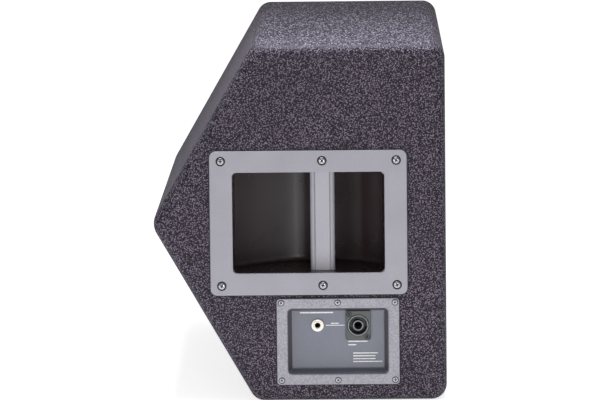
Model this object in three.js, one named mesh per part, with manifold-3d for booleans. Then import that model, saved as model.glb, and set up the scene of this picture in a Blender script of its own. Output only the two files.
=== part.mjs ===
// Stage monitor wedge, standing on one of its narrow sides: a coated plywood cabinet with a pull handle and
// an input dish in one end, a pole socket in the other, and a 12 inch woofer, a horn and two ports behind a
// steel grille.
//
// Millimetres. While it is built, X = 0 is the plane of the front edges (the cabinet lies at X < 0), Y = 0 is
// the outer face of the input end and Z = 0 is the underside. The last lines move the origin to the middle of
// the base.
import * as THREE from "three";
import { mergeVertices } from "three/addons/utils/BufferGeometryUtils.js";
import Module from "manifold-3d";

const wasm = await Module();
wasm.setup();

// ---------------------------------------------------------------- driving dimensions

const HEIGHT = 375;
const LENGTH = 572;
const NARROW_DEPTH = 200; // front to back along the top and the bottom
const REAR_LEAN = Math.PI / 6; // of each rear face from the vertical
const BOARD = 18; // plywood
const LONG_EDGE_RADIUS = 16;
const REAR_RIDGE_RADIUS = 21;
const END_ROUNDOVER = 11;
const GAP = 0.3; // left between pieces that touch

// Room round each piece in the hole that it goes through.
const CLEARANCE = { cup: 1.5, cup_flange: 0.8, cup_rebate: 0.4, dish: 0.5, pole_tube: 1, horn: 4, port: 0.5 };

const BAFFLE_FRONT = -30;
const BRACE_Y = 338;
const BRACE_THICKNESS = 15;
const BRACE_RIM = 40;

const PLATE_PROUD = 3; // how far the handle frame, the input plate and the pole flange stand out
const PLATE_CHAMFER = 1;

const HANDLE_FRAME = { x0: -246, x1: -40.4, z0: 112.7, z1: 264.1, radius: 7 };
const HANDLE_WINDOW = { x0: -222.4, x1: -63.9, z0: 135.7, z1: 241.6, radius: 4 };
const CUP_WALL = 3;
const CUP_DRAFT = Math.tan(Math.PI / 60); // 3 degrees
const CUP_DEEPEST_X = -126;
const CUP_DEPTH = 73;
const CUP_LEFT_RADIUS = 130.7;
const CUP_RIGHT_RADIUS = 73.5;
const CUP_FLANGE = { width: 8, thickness: 2.2 };
const BAR = { x: -128.7, width: 25.4, front: 15, thickness: 22, radius: 4.5 };
const BAR_GROOVE = { inset: 4.2, width: 0.9, depth: 0.8 };
const HANDLE_SCREW_X = [-234.2, -128.6, -51.4];
const HANDLE_SCREW_Z = [122.8, 253.6];

const INPUT_PLATE = { x0: -177.4, x1: -49.4, z0: 18, z1: 108.7, radius: 3.7 };
const INPUT_WINDOW = { x0: -166.3, x1: -60.6, z0: 28.5, z1: 98.6, radius: 5 };
const DISH_FLOOR_Y = 12.5;
const DISH_DRAFT = 4.2; // how much the walls close in by the floor
const DISH_WALL = 2.5;
const INPUT_SCREW_X = [-172.6, -113.6, -53.8];
const INPUT_SCREW_Z = [22.6, 104.4];
const CONNECTOR = { x: -92.4, z: 78.4, width: 26, height: 31, flange: 2.8 };
const JACK = { x: -134.9, z: 78.6, nut_radius: 6.4, bush_radius: 4.6, bore_radius: 3.3 };

const AXIS_Z = HEIGHT / 2; // height of the drivers' axes
const WOOFER_Y = 178;
const HORN_Y = 442;
const WOOFER_CUTOUT_RADIUS = 141;
const BASKET_RADIUS = 153;
const HORN_MOUTH = { width: 186, height: 108 };
const HORN_FLANGE = { width: 204, height: 128 };
const THROAT_RADIUS = 12.7;
const THROAT_X = -118;
const MOTOR_SEAT_X = -100; // back of the woofer's frame, where the motor is fixed
const PORT_OFFSET = 105; // of each port's axis above or below the horn's
const PORT_RADIUS = 33;
const PORT_WALL = 3;
const PORT_END_X = -128;

const GRILLE_FRONT = -3.2;
const GRILLE_SHEET = 1.4;
const GRILLE_CLEARANCE = 1.2; // to the boards around it
const GRILLE_SCREW_INSET = 13;
const FOAM_THICKNESS = 4;

const POLE = { x: -130, bore_radius: 18, wall: 3, depth: 85, flange: 92, screw_inset: 11 };

const BOARD_PLATE = { x0: -180, x1: -90, y0: 120, y1: 260, z: 22, thickness: 1.6 };

// ---------------------------------------------------------------- solids

function toSolid(geometry) {
  const bare = geometry.index ? geometry.toNonIndexed() : geometry.clone();
  bare.deleteAttribute("normal");
  bare.deleteAttribute("uv");
  const merged = mergeVertices(bare, 1e-4);
  const vertProperties = merged.attributes.position.array;
  const triVerts = new Uint32Array(merged.index.array);
  return new wasm.Manifold(new wasm.Mesh({ numProp: 3, vertProperties, triVerts }));
}

function toGeometry(solid) {
  const mesh = solid.getMesh();
  const geometry = new THREE.BufferGeometry();
  geometry.setAttribute("position", new THREE.BufferAttribute(mesh.vertProperties, 3));
  geometry.setIndex(new THREE.BufferAttribute(mesh.triVerts, 1));
  geometry.computeVertexNormals();
  return geometry;
}

function join(...geometries) {
  return toGeometry(geometries.map(toSolid).reduce((all, next) => all.add(next)));
}

function cut(base, ...tools) {
  return toGeometry(tools.map(toSolid).reduce((rest, tool) => rest.subtract(tool), toSolid(base)));
}

function meet(first, second) {
  return toGeometry(toSolid(first).intersect(toSolid(second)));
}

// ---------------------------------------------------------------- outlines

// Corners given anticlockwise, moved inwards by the same distance from every side.
function insetCorners(corners, inset) {
  return corners.map((corner, i) => {
    const before = corners[(i + corners.length - 1) % corners.length];
    const after = corners[(i + 1) % corners.length];
    const inward = corner.clone().sub(before).normalize();
    const outward = after.clone().sub(corner).normalize();
    const first = new THREE.Vector2(-inward.y, inward.x);
    const second = new THREE.Vector2(-outward.y, outward.x);
    const scale = inset / (1 + first.dot(second));
    return corner.clone().addScaledVector(first.add(second), scale);
  });
}

// The same corners, each drawn as an arc of `steps` stretches.
function roundCorners(corners, radii, steps) {
  return corners.flatMap((corner, i) => {
    const before = corners[(i + corners.length - 1) % corners.length];
    const after = corners[(i + 1) % corners.length];
    const inward = corner.clone().sub(before).normalize();
    const outward = after.clone().sub(corner).normalize();
    const turn = Math.acos(inward.dot(outward));
    const radius = radii[i];
    const centre = corner.clone().addScaledVector(inward, -radius * Math.tan(turn / 2));
    centre.add(new THREE.Vector2(-inward.y, inward.x).multiplyScalar(radius));
    const start = Math.atan2(-inward.x, inward.y);
    return Array.from({ length: steps + 1 }, (_, k) => {
      const angle = start + (turn * k) / steps;
      return new THREE.Vector2(centre.x + radius * Math.cos(angle), centre.y + radius * Math.sin(angle));
    });
  });
}

function rectangle({ x0, x1, z0, z1 }) {
  return [
    new THREE.Vector2(x0, z0),
    new THREE.Vector2(x1, z0),
    new THREE.Vector2(x1, z1),
    new THREE.Vector2(x0, z1),
  ];
}

// A rounded rectangle, grown on all sides by `grow`, with its own corner radius or a given one.
function roundedWindow(box, grow = 0, radius = box.radius + grow, steps = 3) {
  return roundCorners(insetCorners(rectangle(box), -grow), Array(4).fill(radius), steps);
}

const RIDGE_X = -NARROW_DEPTH - (HEIGHT / 2) * Math.tan(REAR_LEAN);
const SECTION = [
  new THREE.Vector2(0, 0),
  new THREE.Vector2(0, HEIGHT),
  new THREE.Vector2(-NARROW_DEPTH, HEIGHT),
  new THREE.Vector2(RIDGE_X, HEIGHT / 2),
  new THREE.Vector2(-NARROW_DEPTH, 0),
];
const SECTION_RADII = [
  LONG_EDGE_RADIUS,
  LONG_EDGE_RADIUS,
  LONG_EDGE_RADIUS,
  REAR_RIDGE_RADIUS,
  LONG_EDGE_RADIUS,
];

function sectionOutline(inset) {
  const radii = SECTION_RADII.map((radius) => radius - inset);
  return roundCorners(insetCorners(SECTION, inset), radii, 4);
}

// ---------------------------------------------------------------- shapes from outlines

// Joins rings of equal point count into a closed body, each ring anticlockwise about the way the rings run.
function loft(rings) {
  const count = rings[0].length;
  const positions = rings.flat().flatMap((point) => [point.x, point.y, point.z]);
  const index = [];
  for (let ring = 0; ring < rings.length - 1; ring += 1) {
    for (let i = 0; i < count; i += 1) {
      const a = ring * count + i;
      const b = ring * count + ((i + 1) % count);
      index.push(a, b, b + count, a, b + count, a + count);
    }
  }
  const last = (rings.length - 1) * count;
  for (const [a, b, c] of capTriangles(rings[0])) {
    index.push(c, b, a);
  }
  for (const [a, b, c] of capTriangles(rings[rings.length - 1])) {
    index.push(last + a, last + b, last + c);
  }
  const geometry = new THREE.BufferGeometry();
  geometry.setAttribute("position", new THREE.Float32BufferAttribute(positions, 3));
  geometry.setIndex(index);
  return geometry;
}

// Triangles that fill a flat ring, turning the same way as the ring does.
function capTriangles(ring) {
  const normal = new THREE.Vector3();
  ring.forEach((point, i) => {
    const next = ring[(i + 1) % ring.length];
    normal.add(new THREE.Vector3().crossVectors(point, next));
  });
  const size = [Math.abs(normal.x), Math.abs(normal.y), Math.abs(normal.z)];
  const flat = ring.map((point) => {
    if (size[0] >= size[1] && size[0] >= size[2]) return new THREE.Vector2(point.y, point.z);
    if (size[1] >= size[2]) return new THREE.Vector2(point.z, point.x);
    return new THREE.Vector2(point.x, point.y);
  });
  const ringTurn = THREE.ShapeUtils.isClockWise(flat);
  return THREE.ShapeUtils.triangulateShape(flat, []).map(([a, b, c]) => {
    const turn = THREE.ShapeUtils.isClockWise([flat[a], flat[b], flat[c]]);
    return turn === ringTurn ? [a, b, c] : [c, b, a];
  });
}

// Layers of { outline, y } with outlines in X and Z.
function loftAlongY(layers) {
  // Anticlockwise in X and Z is clockwise about +Y, so the layers run from the highest Y down.
  const sorted = [...layers].sort((first, second) => second.y - first.y);
  const ring = ({ outline, y }) => outline.map((point) => new THREE.Vector3(point.x, y, point.y));
  return loft(sorted.map(ring));
}

function prismAlongY(outline, y0, y1) {
  return loftAlongY([
    { outline, y: y0 },
    { outline, y: y1 },
  ]);
}

function prismAlongZ(outline, z0, z1) {
  return loft([z0, z1].map((z) => outline.map((point) => new THREE.Vector3(point.x, point.y, z))));
}

function box(x0, x1, y0, y1, z0, z1) {
  const geometry = new THREE.BoxGeometry(x1 - x0, y1 - y0, z1 - z0);
  return geometry.translate((x0 + x1) / 2, (y0 + y1) / 2, (z0 + z1) / 2);
}

// A lathe about +Y from [radius, height] pairs, listed upwards along the outside.
function lathe(profile, segments) {
  return new THREE.LatheGeometry(
    profile.map(([radius, height]) => new THREE.Vector2(radius, height)),
    segments,
  );
}

// The same about +X, with heights as X, at a given Y and Z.
function latheAlongX(profile, segments, y, z) {
  return lathe(profile, segments).rotateZ(-Math.PI / 2).translate(0, y, z);
}

function cylinderAlongX(radius, x0, x1, y, z, segments) {
  return latheAlongX([[0, x0], [radius, x0], [radius, x1], [0, x1]], segments, y, z);
}

function cylinderAlongY(radius, y0, y1, x, z, segments) {
  return lathe([[0, y0], [radius, y0], [radius, y1], [0, y1]], segments).translate(x, 0, z);
}

function tube(points, radius, steps) {
  const circle = new THREE.Shape(
    Array.from({ length: 8 }, (_, i) => {
      const angle = (i * Math.PI) / 4;
      return new THREE.Vector2(radius * Math.cos(angle), radius * Math.sin(angle));
    }),
  );
  const path = new THREE.CatmullRomCurve3(points.map(([x, y, z]) => new THREE.Vector3(x, y, z)));
  return new THREE.ExtrudeGeometry(circle, { steps, bevelEnabled: false, extrudePath: path });
}

// ---------------------------------------------------------------- the group and its finishes

const wedge = new THREE.Group();

const FINISHES = {
  coating: { color: 0x1d1b1f, roughness: 0.85, metalness: 0 },
  plywood: { color: 0xb8935f, roughness: 0.8, metalness: 0 },
  grille_paint: { color: 0x141416, roughness: 0.6, metalness: 0.4 },
  foam: { color: 0x0c0c0d, roughness: 1, metalness: 0 },
  light_plastic: { color: 0x8d8b96, roughness: 0.5, metalness: 0 },
  dark_plastic: { color: 0x2e2a2d, roughness: 0.5, metalness: 0 },
  connector_plastic: { color: 0x26272b, roughness: 0.4, metalness: 0 },
  cream_plastic: { color: 0xe6dfcc, roughness: 0.45, metalness: 0 },
  screw_steel: { color: 0x8f8f96, roughness: 0.35, metalness: 0.9 },
  black_screw: { color: 0x17171a, roughness: 0.45, metalness: 0.7 },
  cast_frame: { color: 0x2a2b2e, roughness: 0.55, metalness: 0.6 },
  motor_steel: { color: 0x5b5c60, roughness: 0.45, metalness: 0.8 },
  paper_cone: { color: 0x1b1a1a, roughness: 0.9, metalness: 0 },
  treated_cloth: { color: 0x2b2420, roughness: 0.85, metalness: 0 },
  copper_winding: { color: 0xa65f32, roughness: 0.4, metalness: 0.8 },
  diaphragm_metal: { color: 0xb9bbc0, roughness: 0.3, metalness: 0.9 },
  circuit_board: { color: 0x2d4a2c, roughness: 0.6, metalness: 0 },
  capacitor_film: { color: 0xc9a53a, roughness: 0.5, metalness: 0 },
  wire_jacket: { color: 0x1a1a1c, roughness: 0.7, metalness: 0 },
};

function add(name, geometry, finish, place = (mesh) => mesh) {
  const mesh = new THREE.Mesh(geometry, new THREE.MeshStandardMaterial(FINISHES[finish]));
  mesh.name = name;
  wedge.add(place(mesh));
}

// ---------------------------------------------------------------- screws

// Head towards -Y with its bearing face at Y = 0, shank into +Y.
function panHeadScrew(headRadius, headHeight, shankRadius, length) {
  return lathe(
    [
      [0, -headHeight],
      [headRadius * 0.72, -headHeight * 0.9],
      [headRadius, -headHeight * 0.3],
      [headRadius, 0],
      [shankRadius, 0],
      [shankRadius, length - shankRadius],
      [0, length],
    ],
    10,
  );
}

function countersunkScrew(headRadius, crown, coneDepth, shankRadius, length) {
  return lathe(
    [
      [0, -crown],
      [headRadius, 0],
      [shankRadius, coneDepth],
      [shankRadius, length - shankRadius],
      [0, length],
    ],
    10,
  );
}

const PAN = { head: 3.9, height: 2.1, shank: 1.9, length: 15, hole: 2.2, sink: 1, sink_radius: 4.8 };
const COUNTERSUNK = { head: 2.7, crown: 0.4, cone: 1.5, shank: 1.3, length: 13, hole: 1.6 };
const PAN_BEARING_Y = -PLATE_PROUD + PAN.sink - GAP;

function screwGrid(xs, zs) {
  return zs.flatMap((z) => xs.map((x) => ({ x, z })));
}

const handleScrewPlaces = screwGrid(HANDLE_SCREW_X, HANDLE_SCREW_Z);
const inputScrewPlaces = screwGrid(INPUT_SCREW_X, INPUT_SCREW_Z);
const poleScrewReach = POLE.flange / 2 - POLE.screw_inset;
const poleScrewPlaces = screwGrid(
  [POLE.x - poleScrewReach, POLE.x + poleScrewReach],
  [AXIS_Z - poleScrewReach, AXIS_Z + poleScrewReach],
);

function addPlateScrews() {
  const pan = panHeadScrew(PAN.head, PAN.height, PAN.shank, PAN.length);
  const countersunk = countersunkScrew(
    COUNTERSUNK.head,
    COUNTERSUNK.crown,
    COUNTERSUNK.cone,
    COUNTERSUNK.shank,
    COUNTERSUNK.length,
  );
  handleScrewPlaces.forEach(({ x, z }, i) => {
    add(`handle_screw_${i + 1}`, pan, "screw_steel", (mesh) => {
      mesh.position.set(x, PAN_BEARING_Y, z);
      return mesh;
    });
  });
  inputScrewPlaces.forEach(({ x, z }, i) => {
    add(`input_screw_${i + 1}`, countersunk, "screw_steel", (mesh) => {
      mesh.position.set(x, -PLATE_PROUD, z);
      return mesh;
    });
  });
  poleScrewPlaces.forEach(({ x, z }, i) => {
    add(`pole_screw_${i + 1}`, pan, "black_screw", (mesh) => {
      mesh.position.set(x, LENGTH - PAN_BEARING_Y, z);
      mesh.rotation.z = Math.PI;
      return mesh;
    });
  });
}

function panHolesAlongY(places, y0, y1) {
  return places.map(({ x, z }) => cylinderAlongY(PAN.hole, y0, y1, x, z, 8));
}

function panSinks(places, y0, y1) {
  return places.map(({ x, z }) => cylinderAlongY(PAN.sink_radius, y0, y1, x, z, 12));
}

// ---------------------------------------------------------------- cabinet

const boardsY0 = BOARD + GAP;
const boardsY1 = LENGTH - BOARD - GAP;
const outerPrism = prismAlongY(sectionOutline(0), boardsY0, boardsY1);
const innerSection = insetCorners(SECTION, BOARD);
const PILOT_DEPTH = PAN.length + 1;

// One end board, its outer face at Y = 0, rounded over all round.
function endBoard() {
  const layers = [0, 30, 60, 90].map((degrees) => {
    const angle = THREE.MathUtils.degToRad(degrees);
    return {
      outline: sectionOutline(END_ROUNDOVER * (1 - Math.sin(angle))),
      y: END_ROUNDOVER * (1 - Math.cos(angle)),
    };
  });
  return loftAlongY([...layers, { outline: sectionOutline(0), y: BOARD }]);
}

function addEndPanels() {
  const flangeRebate = CUP_FLANGE.width + CLEARANCE.cup_flange;
  const rebateDepth = CUP_FLANGE.thickness + CLEARANCE.cup_rebate;
  const inputPilotDepth = COUNTERSUNK.length;
  const inputPanel = cut(
    endBoard(),
    prismAlongY(roundedWindow(HANDLE_WINDOW, CUP_WALL + CLEARANCE.cup), -1, BOARD + 1),
    prismAlongY(roundedWindow(HANDLE_WINDOW, flangeRebate), -1, rebateDepth),
    prismAlongY(roundedWindow(INPUT_WINDOW, DISH_WALL + CLEARANCE.dish), -1, BOARD + 1),
    ...panHolesAlongY(handleScrewPlaces, -1, PILOT_DEPTH),
    ...inputScrewPlaces.map(({ x, z }) => cylinderAlongY(COUNTERSUNK.hole, -1, inputPilotDepth, x, z, 8)),
  );
  const poleHoleRadius = POLE.bore_radius + POLE.wall + CLEARANCE.pole_tube;
  const poleHole = cylinderAlongY(poleHoleRadius, -1, BOARD + 1, POLE.x, AXIS_Z, 24);
  const polePanel = cut(endBoard(), poleHole, ...panHolesAlongY(poleScrewPlaces, -1, PILOT_DEPTH));
  add("end_panel_input", inputPanel, "coating");
  // The far end is the same board seen in a mirror, so its outer face looks along +Y.
  const mirrored = toGeometry(toSolid(polePanel).scale([1, -1, 1]).translate([0, LENGTH, 0]));
  add("end_panel_pole", mirrored, "coating");
}

function halfPlaneStrip(from, to, thickness) {
  // A strip of the given thickness on the inner side of the line from one section corner to the next.
  const along = to.clone().sub(from).normalize();
  const inwards = new THREE.Vector2(-along.y, along.x);
  const reach = 60;
  const start = from.clone().addScaledVector(along, -reach);
  const end = to.clone().addScaledVector(along, reach);
  return [
    start.clone().addScaledVector(inwards, -reach),
    end.clone().addScaledVector(inwards, -reach),
    end.clone().addScaledVector(inwards, thickness),
    start.clone().addScaledVector(inwards, thickness),
  ];
}

function addBoards() {
  const [, , upperCorner, ridge, lowerCorner] = SECTION;
  const between = (z0, z1) => box(RIDGE_X - 1, 1, boardsY0 - 1, boardsY1 + 1, z0, z1);
  const strip = (from, to, thickness) =>
    prismAlongY(halfPlaneStrip(from, to, thickness), boardsY0 - 1, boardsY1 + 1);
  add("top_panel", meet(outerPrism, between(HEIGHT - BOARD, HEIGHT + 1)), "coating");
  add("bottom_panel", meet(outerPrism, between(-1, BOARD)), "coating");
  const middle = meet(outerPrism, between(BOARD + GAP, HEIGHT - BOARD - GAP));
  const upper = meet(middle, strip(upperCorner, ridge, BOARD));
  add("rear_panel_upper", upper, "coating");
  const lower = meet(middle, strip(ridge, lowerCorner, BOARD));
  add("rear_panel_lower", cut(lower, strip(upperCorner, ridge, BOARD + GAP)), "coating");
}

function addBaffle() {
  const inside = { x0: BAFFLE_FRONT - BOARD, x1: BAFFLE_FRONT };
  const z0 = BOARD + GAP;
  const z1 = HEIGHT - BOARD - GAP;
  const board = box(inside.x0, inside.x1, boardsY0, boardsY1, z0, z1);
  const hole = (radius, y, z, segments) =>
    cylinderAlongX(radius, inside.x0 - 1, inside.x1 + 1, y, z, segments);
  const hornHole = box(
    inside.x0 - 1,
    inside.x1 + 1,
    HORN_Y - HORN_MOUTH.width / 2 - CLEARANCE.horn,
    HORN_Y + HORN_MOUTH.width / 2 + CLEARANCE.horn,
    AXIS_Z - HORN_MOUTH.height / 2 - CLEARANCE.horn,
    AXIS_Z + HORN_MOUTH.height / 2 + CLEARANCE.horn,
  );
  const grilleHoles = grilleScrewPlaces().map(({ y, z }) => hole(PAN.hole, y, z, 8));
  const portHoleRadius = PORT_RADIUS + PORT_WALL + CLEARANCE.port;
  const portHoles = [-1, 1].map((side) => hole(portHoleRadius, HORN_Y, AXIS_Z + side * PORT_OFFSET, 28));
  const wooferHole = hole(WOOFER_CUTOUT_RADIUS, WOOFER_Y, AXIS_Z, 48);
  const baffle = cut(board, wooferHole, hornHole, ...portHoles, ...grilleHoles);
  add("front_baffle", baffle, "coating");
}

// A board across the middle, against the baffle and the walls, with a large window for the air and the wires.
function addBrace() {
  const outline = insetCorners(innerSection, GAP);
  const front = BAFFLE_FRONT - BOARD - GAP;
  const y1 = BRACE_Y + BRACE_THICKNESS;
  const window = insetCorners(innerSection, BRACE_RIM);
  const rearPart = box(RIDGE_X, front, BRACE_Y - 1, y1 + 1, 0, HEIGHT);
  const windowPart = box(RIDGE_X, front - BRACE_RIM, BRACE_Y - 2, y1 + 2, 0, HEIGHT);
  const board = meet(prismAlongY(outline, BRACE_Y, y1), rearPart);
  const opening = meet(prismAlongY(window, BRACE_Y - 1, y1 + 1), windowPart);
  add("internal_brace", cut(board, opening), "plywood");
}

// ---------------------------------------------------------------- grille

const GRILLE = {
  y0: BOARD + GRILLE_CLEARANCE,
  y1: LENGTH - BOARD - GRILLE_CLEARANCE,
  z0: BOARD + GRILLE_CLEARANCE,
  z1: HEIGHT - BOARD - GRILLE_CLEARANCE,
};

function grilleScrewPlaces() {
  const ys = [GRILLE.y0 + GRILLE_SCREW_INSET, LENGTH / 2, GRILLE.y1 - GRILLE_SCREW_INSET];
  const zs = [GRILLE.z0 + GRILLE_SCREW_INSET, GRILLE.z1 - GRILLE_SCREW_INSET];
  return zs.flatMap((z) => ys.map((y) => ({ y, z })));
}

// A shallow tray of steel sheet whose folded edges stand on the baffle. Its perforation is left out here.
function addGrille() {
  const back = BAFFLE_FRONT + GAP;
  const sheet = GRILLE_SHEET;
  const inner = [GRILLE.y0 + sheet, GRILLE.y1 - sheet, GRILLE.z0 + sheet, GRILLE.z1 - sheet];
  const tray = cut(
    box(back, GRILLE_FRONT, GRILLE.y0, GRILLE.y1, GRILLE.z0, GRILLE.z1),
    box(back - 1, GRILLE_FRONT - sheet, ...inner),
    ...grilleScrewPlaces().map(({ y, z }) => cylinderAlongX(PAN.hole, -10, 0, y, z, 10)),
  );
  add("grille_sheet", tray, "grille_paint");
  const foamFront = GRILLE_FRONT - sheet - GAP;
  const foamEdge = 3;
  const foam = cut(
    box(
      foamFront - FOAM_THICKNESS,
      foamFront,
      inner[0] + foamEdge,
      inner[1] - foamEdge,
      inner[2] + foamEdge,
      inner[3] - foamEdge,
    ),
    ...grilleScrewPlaces().map(({ y, z }) => cylinderAlongX(5, -20, 0, y, z, 10)),
  );
  add("grille_foam", foam, "foam");
  const screw = panHeadScrew(PAN.head, PAN.height, PAN.shank, 38);
  grilleScrewPlaces().forEach(({ y, z }, i) => {
    add(`grille_screw_${i + 1}`, screw, "black_screw", (mesh) => {
      mesh.position.set(GRILLE_FRONT + GAP, y, z);
      mesh.rotation.z = Math.PI / 2;
      return mesh;
    });
  });
}

// ---------------------------------------------------------------- handle

// The cup seen from above: open towards -Y, closed by two arcs that meet at the deepest line.
function cupPlan(grow) {
  const rightX = HANDLE_WINDOW.x1 + grow + 1;
  const leftX = HANDLE_WINDOW.x0 - grow - 1;
  const arc = (radius, from, to, steps) => {
    const centreY = CUP_DEPTH - radius;
    return Array.from({ length: steps + 1 }, (_, i) => {
      const angle = from + ((to - from) * i) / steps;
      const reach = radius + grow;
      return new THREE.Vector2(CUP_DEEPEST_X + reach * Math.cos(angle), centreY + reach * Math.sin(angle));
    });
  };
  const rightAngle = Math.acos((rightX - CUP_DEEPEST_X) / (CUP_RIGHT_RADIUS + grow));
  const leftAngle = Math.acos((leftX - CUP_DEEPEST_X) / (CUP_LEFT_RADIUS + grow));
  return [
    new THREE.Vector2(leftX, -20),
    new THREE.Vector2(rightX, -20),
    ...arc(CUP_RIGHT_RADIUS, rightAngle, Math.PI / 2, 8),
    ...arc(CUP_LEFT_RADIUS, Math.PI / 2, leftAngle, 12).slice(1),
  ];
}

// The drafted hollow of the handle, from a given Y inwards, grown by `grow`.
function cupHollow(grow, y0) {
  const depth = CUP_DEPTH + 8;
  const cornerRadius = HANDLE_WINDOW.radius + 2;
  const layer = (y) => ({ outline: roundedWindow(HANDLE_WINDOW, grow - CUP_DRAFT * y, cornerRadius), y });
  const drafted = loftAlongY([layer(y0), layer(depth)]);
  return meet(drafted, prismAlongZ(cupPlan(grow), 0, HEIGHT));
}

function chamferedPlate(boxShape) {
  return loftAlongY([
    { outline: roundedWindow(boxShape, -PLATE_CHAMFER), y: -PLATE_PROUD },
    { outline: roundedWindow(boxShape), y: -PLATE_PROUD + PLATE_CHAMFER },
    { outline: roundedWindow(boxShape), y: -GAP },
  ]);
}

function addHandle() {
  const frame = cut(
    chamferedPlate(HANDLE_FRAME),
    prismAlongY(roundedWindow(HANDLE_WINDOW), -PLATE_PROUD - 1, 1),
    ...panHolesAlongY(handleScrewPlaces, -PLATE_PROUD - 1, 1),
    ...panSinks(handleScrewPlaces, -PLATE_PROUD - 1, -PLATE_PROUD + PAN.sink),
  );
  add("handle_frame", frame, "light_plastic");
  const flange = prismAlongY(roundedWindow(HANDLE_WINDOW, CUP_FLANGE.width), 0, CUP_FLANGE.thickness);
  const cup = cut(join(flange, cupHollow(CUP_WALL, 0.1)), cupHollow(0, -1));
  add("handle_cup", cup, "dark_plastic");
  const bar = meet(barPrism(), cupHollow(-GAP, -1));
  add("handle_bar", bar, "light_plastic");
}

// The grip: a rounded oblong in plan with two fine grooves down its face.
function barPrism() {
  const plan = {
    x0: BAR.x - BAR.width / 2,
    x1: BAR.x + BAR.width / 2,
    z0: BAR.front,
    z1: BAR.front + BAR.thickness,
  };
  const body = prismAlongZ(roundCorners(rectangle(plan), Array(4).fill(BAR.radius), 3), 0, HEIGHT);
  const grooves = [plan.x0 + BAR_GROOVE.inset, plan.x1 - BAR_GROOVE.inset - BAR_GROOVE.width].map((x) =>
    box(x, x + BAR_GROOVE.width, BAR.front - 1, BAR.front + BAR_GROOVE.depth, -1, HEIGHT + 1),
  );
  return cut(body, ...grooves);
}

// ---------------------------------------------------------------- input plate

function addInputPlate() {
  const floorRadius = INPUT_WINDOW.radius - 1;
  const shellBackY = DISH_FLOOR_Y + DISH_WALL;
  const slope = DISH_DRAFT / (DISH_FLOOR_Y + PLATE_PROUD);
  const ring = (grow, y) => ({
    outline: roundedWindow(INPUT_WINDOW, grow - slope * (y + PLATE_PROUD), floorRadius + Math.max(grow, 0)),
    y,
  });
  const shell = loftAlongY([ring(DISH_WALL, -PLATE_PROUD + 1), ring(DISH_WALL, shellBackY)]);
  const dish = cut(
    join(chamferedPlate(INPUT_PLATE), shell),
    loftAlongY([ring(slope, -PLATE_PROUD - 1), ring(0, DISH_FLOOR_Y)]),
    cylinderAlongY(12.2, 0, shellBackY + 1, CONNECTOR.x, CONNECTOR.z, 28),
    cylinderAlongY(JACK.bush_radius + GAP, 0, shellBackY + 1, JACK.x, JACK.z, 20),
    ...inputScrewPlaces.map(({ x, z }) => countersunkHole().translate(x, -PLATE_PROUD, z)),
  );
  add("input_dish", dish, "light_plastic");
}

function countersunkHole() {
  const wide = COUNTERSUNK.head + 2 * GAP;
  const narrow = COUNTERSUNK.hole;
  return lathe([[0, -1], [wide, -1], [wide, 0], [narrow, COUNTERSUNK.cone + GAP], [narrow, 4], [0, 4]], 10);
}

// A four pole twist-lock speaker connector: flange, barrel with a ring-shaped socket round a hollow core, and
// four tabs at the back.
function addConnector() {
  const front = DISH_FLOOR_Y - GAP - CONNECTOR.flange;
  const flangeBox = {
    x0: -CONNECTOR.width / 2,
    x1: CONNECTOR.width / 2,
    z0: -CONNECTOR.height / 2,
    z1: CONNECTOR.height / 2,
    radius: 2,
  };
  const flange = prismAlongY(roundedWindow(flangeBox), front, DISH_FLOOR_Y - GAP);
  const barrelBack = DISH_FLOOR_Y + 22;
  const rim = front - 1.2;
  const barrel = lathe(
    [
      [0, rim],
      [10.3, rim],
      [11.8, front],
      [11.8, barrelBack],
      [0, barrelBack],
    ],
    24,
  );
  const ringSocket = lathe(
    [
      [5.2, rim - 1],
      [8.5, rim - 1],
      [8.5, rim + 17],
      [5.2, rim + 17],
      [5.2, rim - 1],
    ],
    20,
  );
  const coreHole = cylinderAlongY(3.1, rim - 1, rim + 12, 0, 0, 16);
  const keyways = [-1, 1].map((side) => box(side * 9 - 1, side * 9 + 1, rim - 1, rim + 6, -1.6, 1.6));
  const screwPlaces = [
    { x: -9.5, z: 12 },
    { x: 9.5, z: -12 },
  ];
  const holes = screwPlaces.map(({ x, z }) => cylinderAlongY(1.6, front - 1, DISH_FLOOR_Y + 1, x, z, 10));
  const tabs = [[-6, -6], [6, -6], [-6, 6], [6, 6]].map(([x, z]) =>
    box(x - 2.4, x + 2.4, barrelBack - 1, barrelBack + 8, z - 0.4, z + 0.4),
  );
  const connector = cut(join(flange, barrel, ...tabs), ringSocket, coreHole, ...keyways, ...holes);
  add("speaker_connector", connector.translate(CONNECTOR.x, 0, CONNECTOR.z), "connector_plastic");
}

// A phone jack whose threaded bush comes through the dish floor and takes a round nut.
function addJack() {
  const nutBack = DISH_FLOOR_Y - GAP;
  const nutFront = nutBack - 2.4;
  const bushFront = nutFront - 0.6;
  const bodyFront = DISH_FLOOR_Y + DISH_WALL + GAP;
  const body = cut(
    join(
      cylinderAlongY(JACK.bush_radius, bushFront, bodyFront + 2, 0, 0, 20),
      box(-8, 8, bodyFront, bodyFront + 24, -8, 8),
      box(-0.4, 0.4, bodyFront + 23, bodyFront + 31, -6, -2),
      box(-0.4, 0.4, bodyFront + 23, bodyFront + 31, 2, 6),
    ),
    cylinderAlongY(JACK.bore_radius, bushFront - 1, bodyFront + 20, 0, 0, 16),
  );
  add("phone_jack", body.translate(JACK.x, 0, JACK.z), "connector_plastic");
  const inner = JACK.bush_radius + GAP;
  const nut = lathe(
    [
      [inner, nutFront],
      [JACK.nut_radius - 0.6, nutFront],
      [JACK.nut_radius, nutFront + 0.6],
      [JACK.nut_radius, nutBack],
      [inner, nutBack],
      [inner, nutFront],
    ],
    20,
  );
  add("jack_nut", nut.translate(JACK.x, 0, JACK.z), "cream_plastic");
}

// ---------------------------------------------------------------- woofer

const WOOFER_SEGMENTS = 28;

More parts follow.
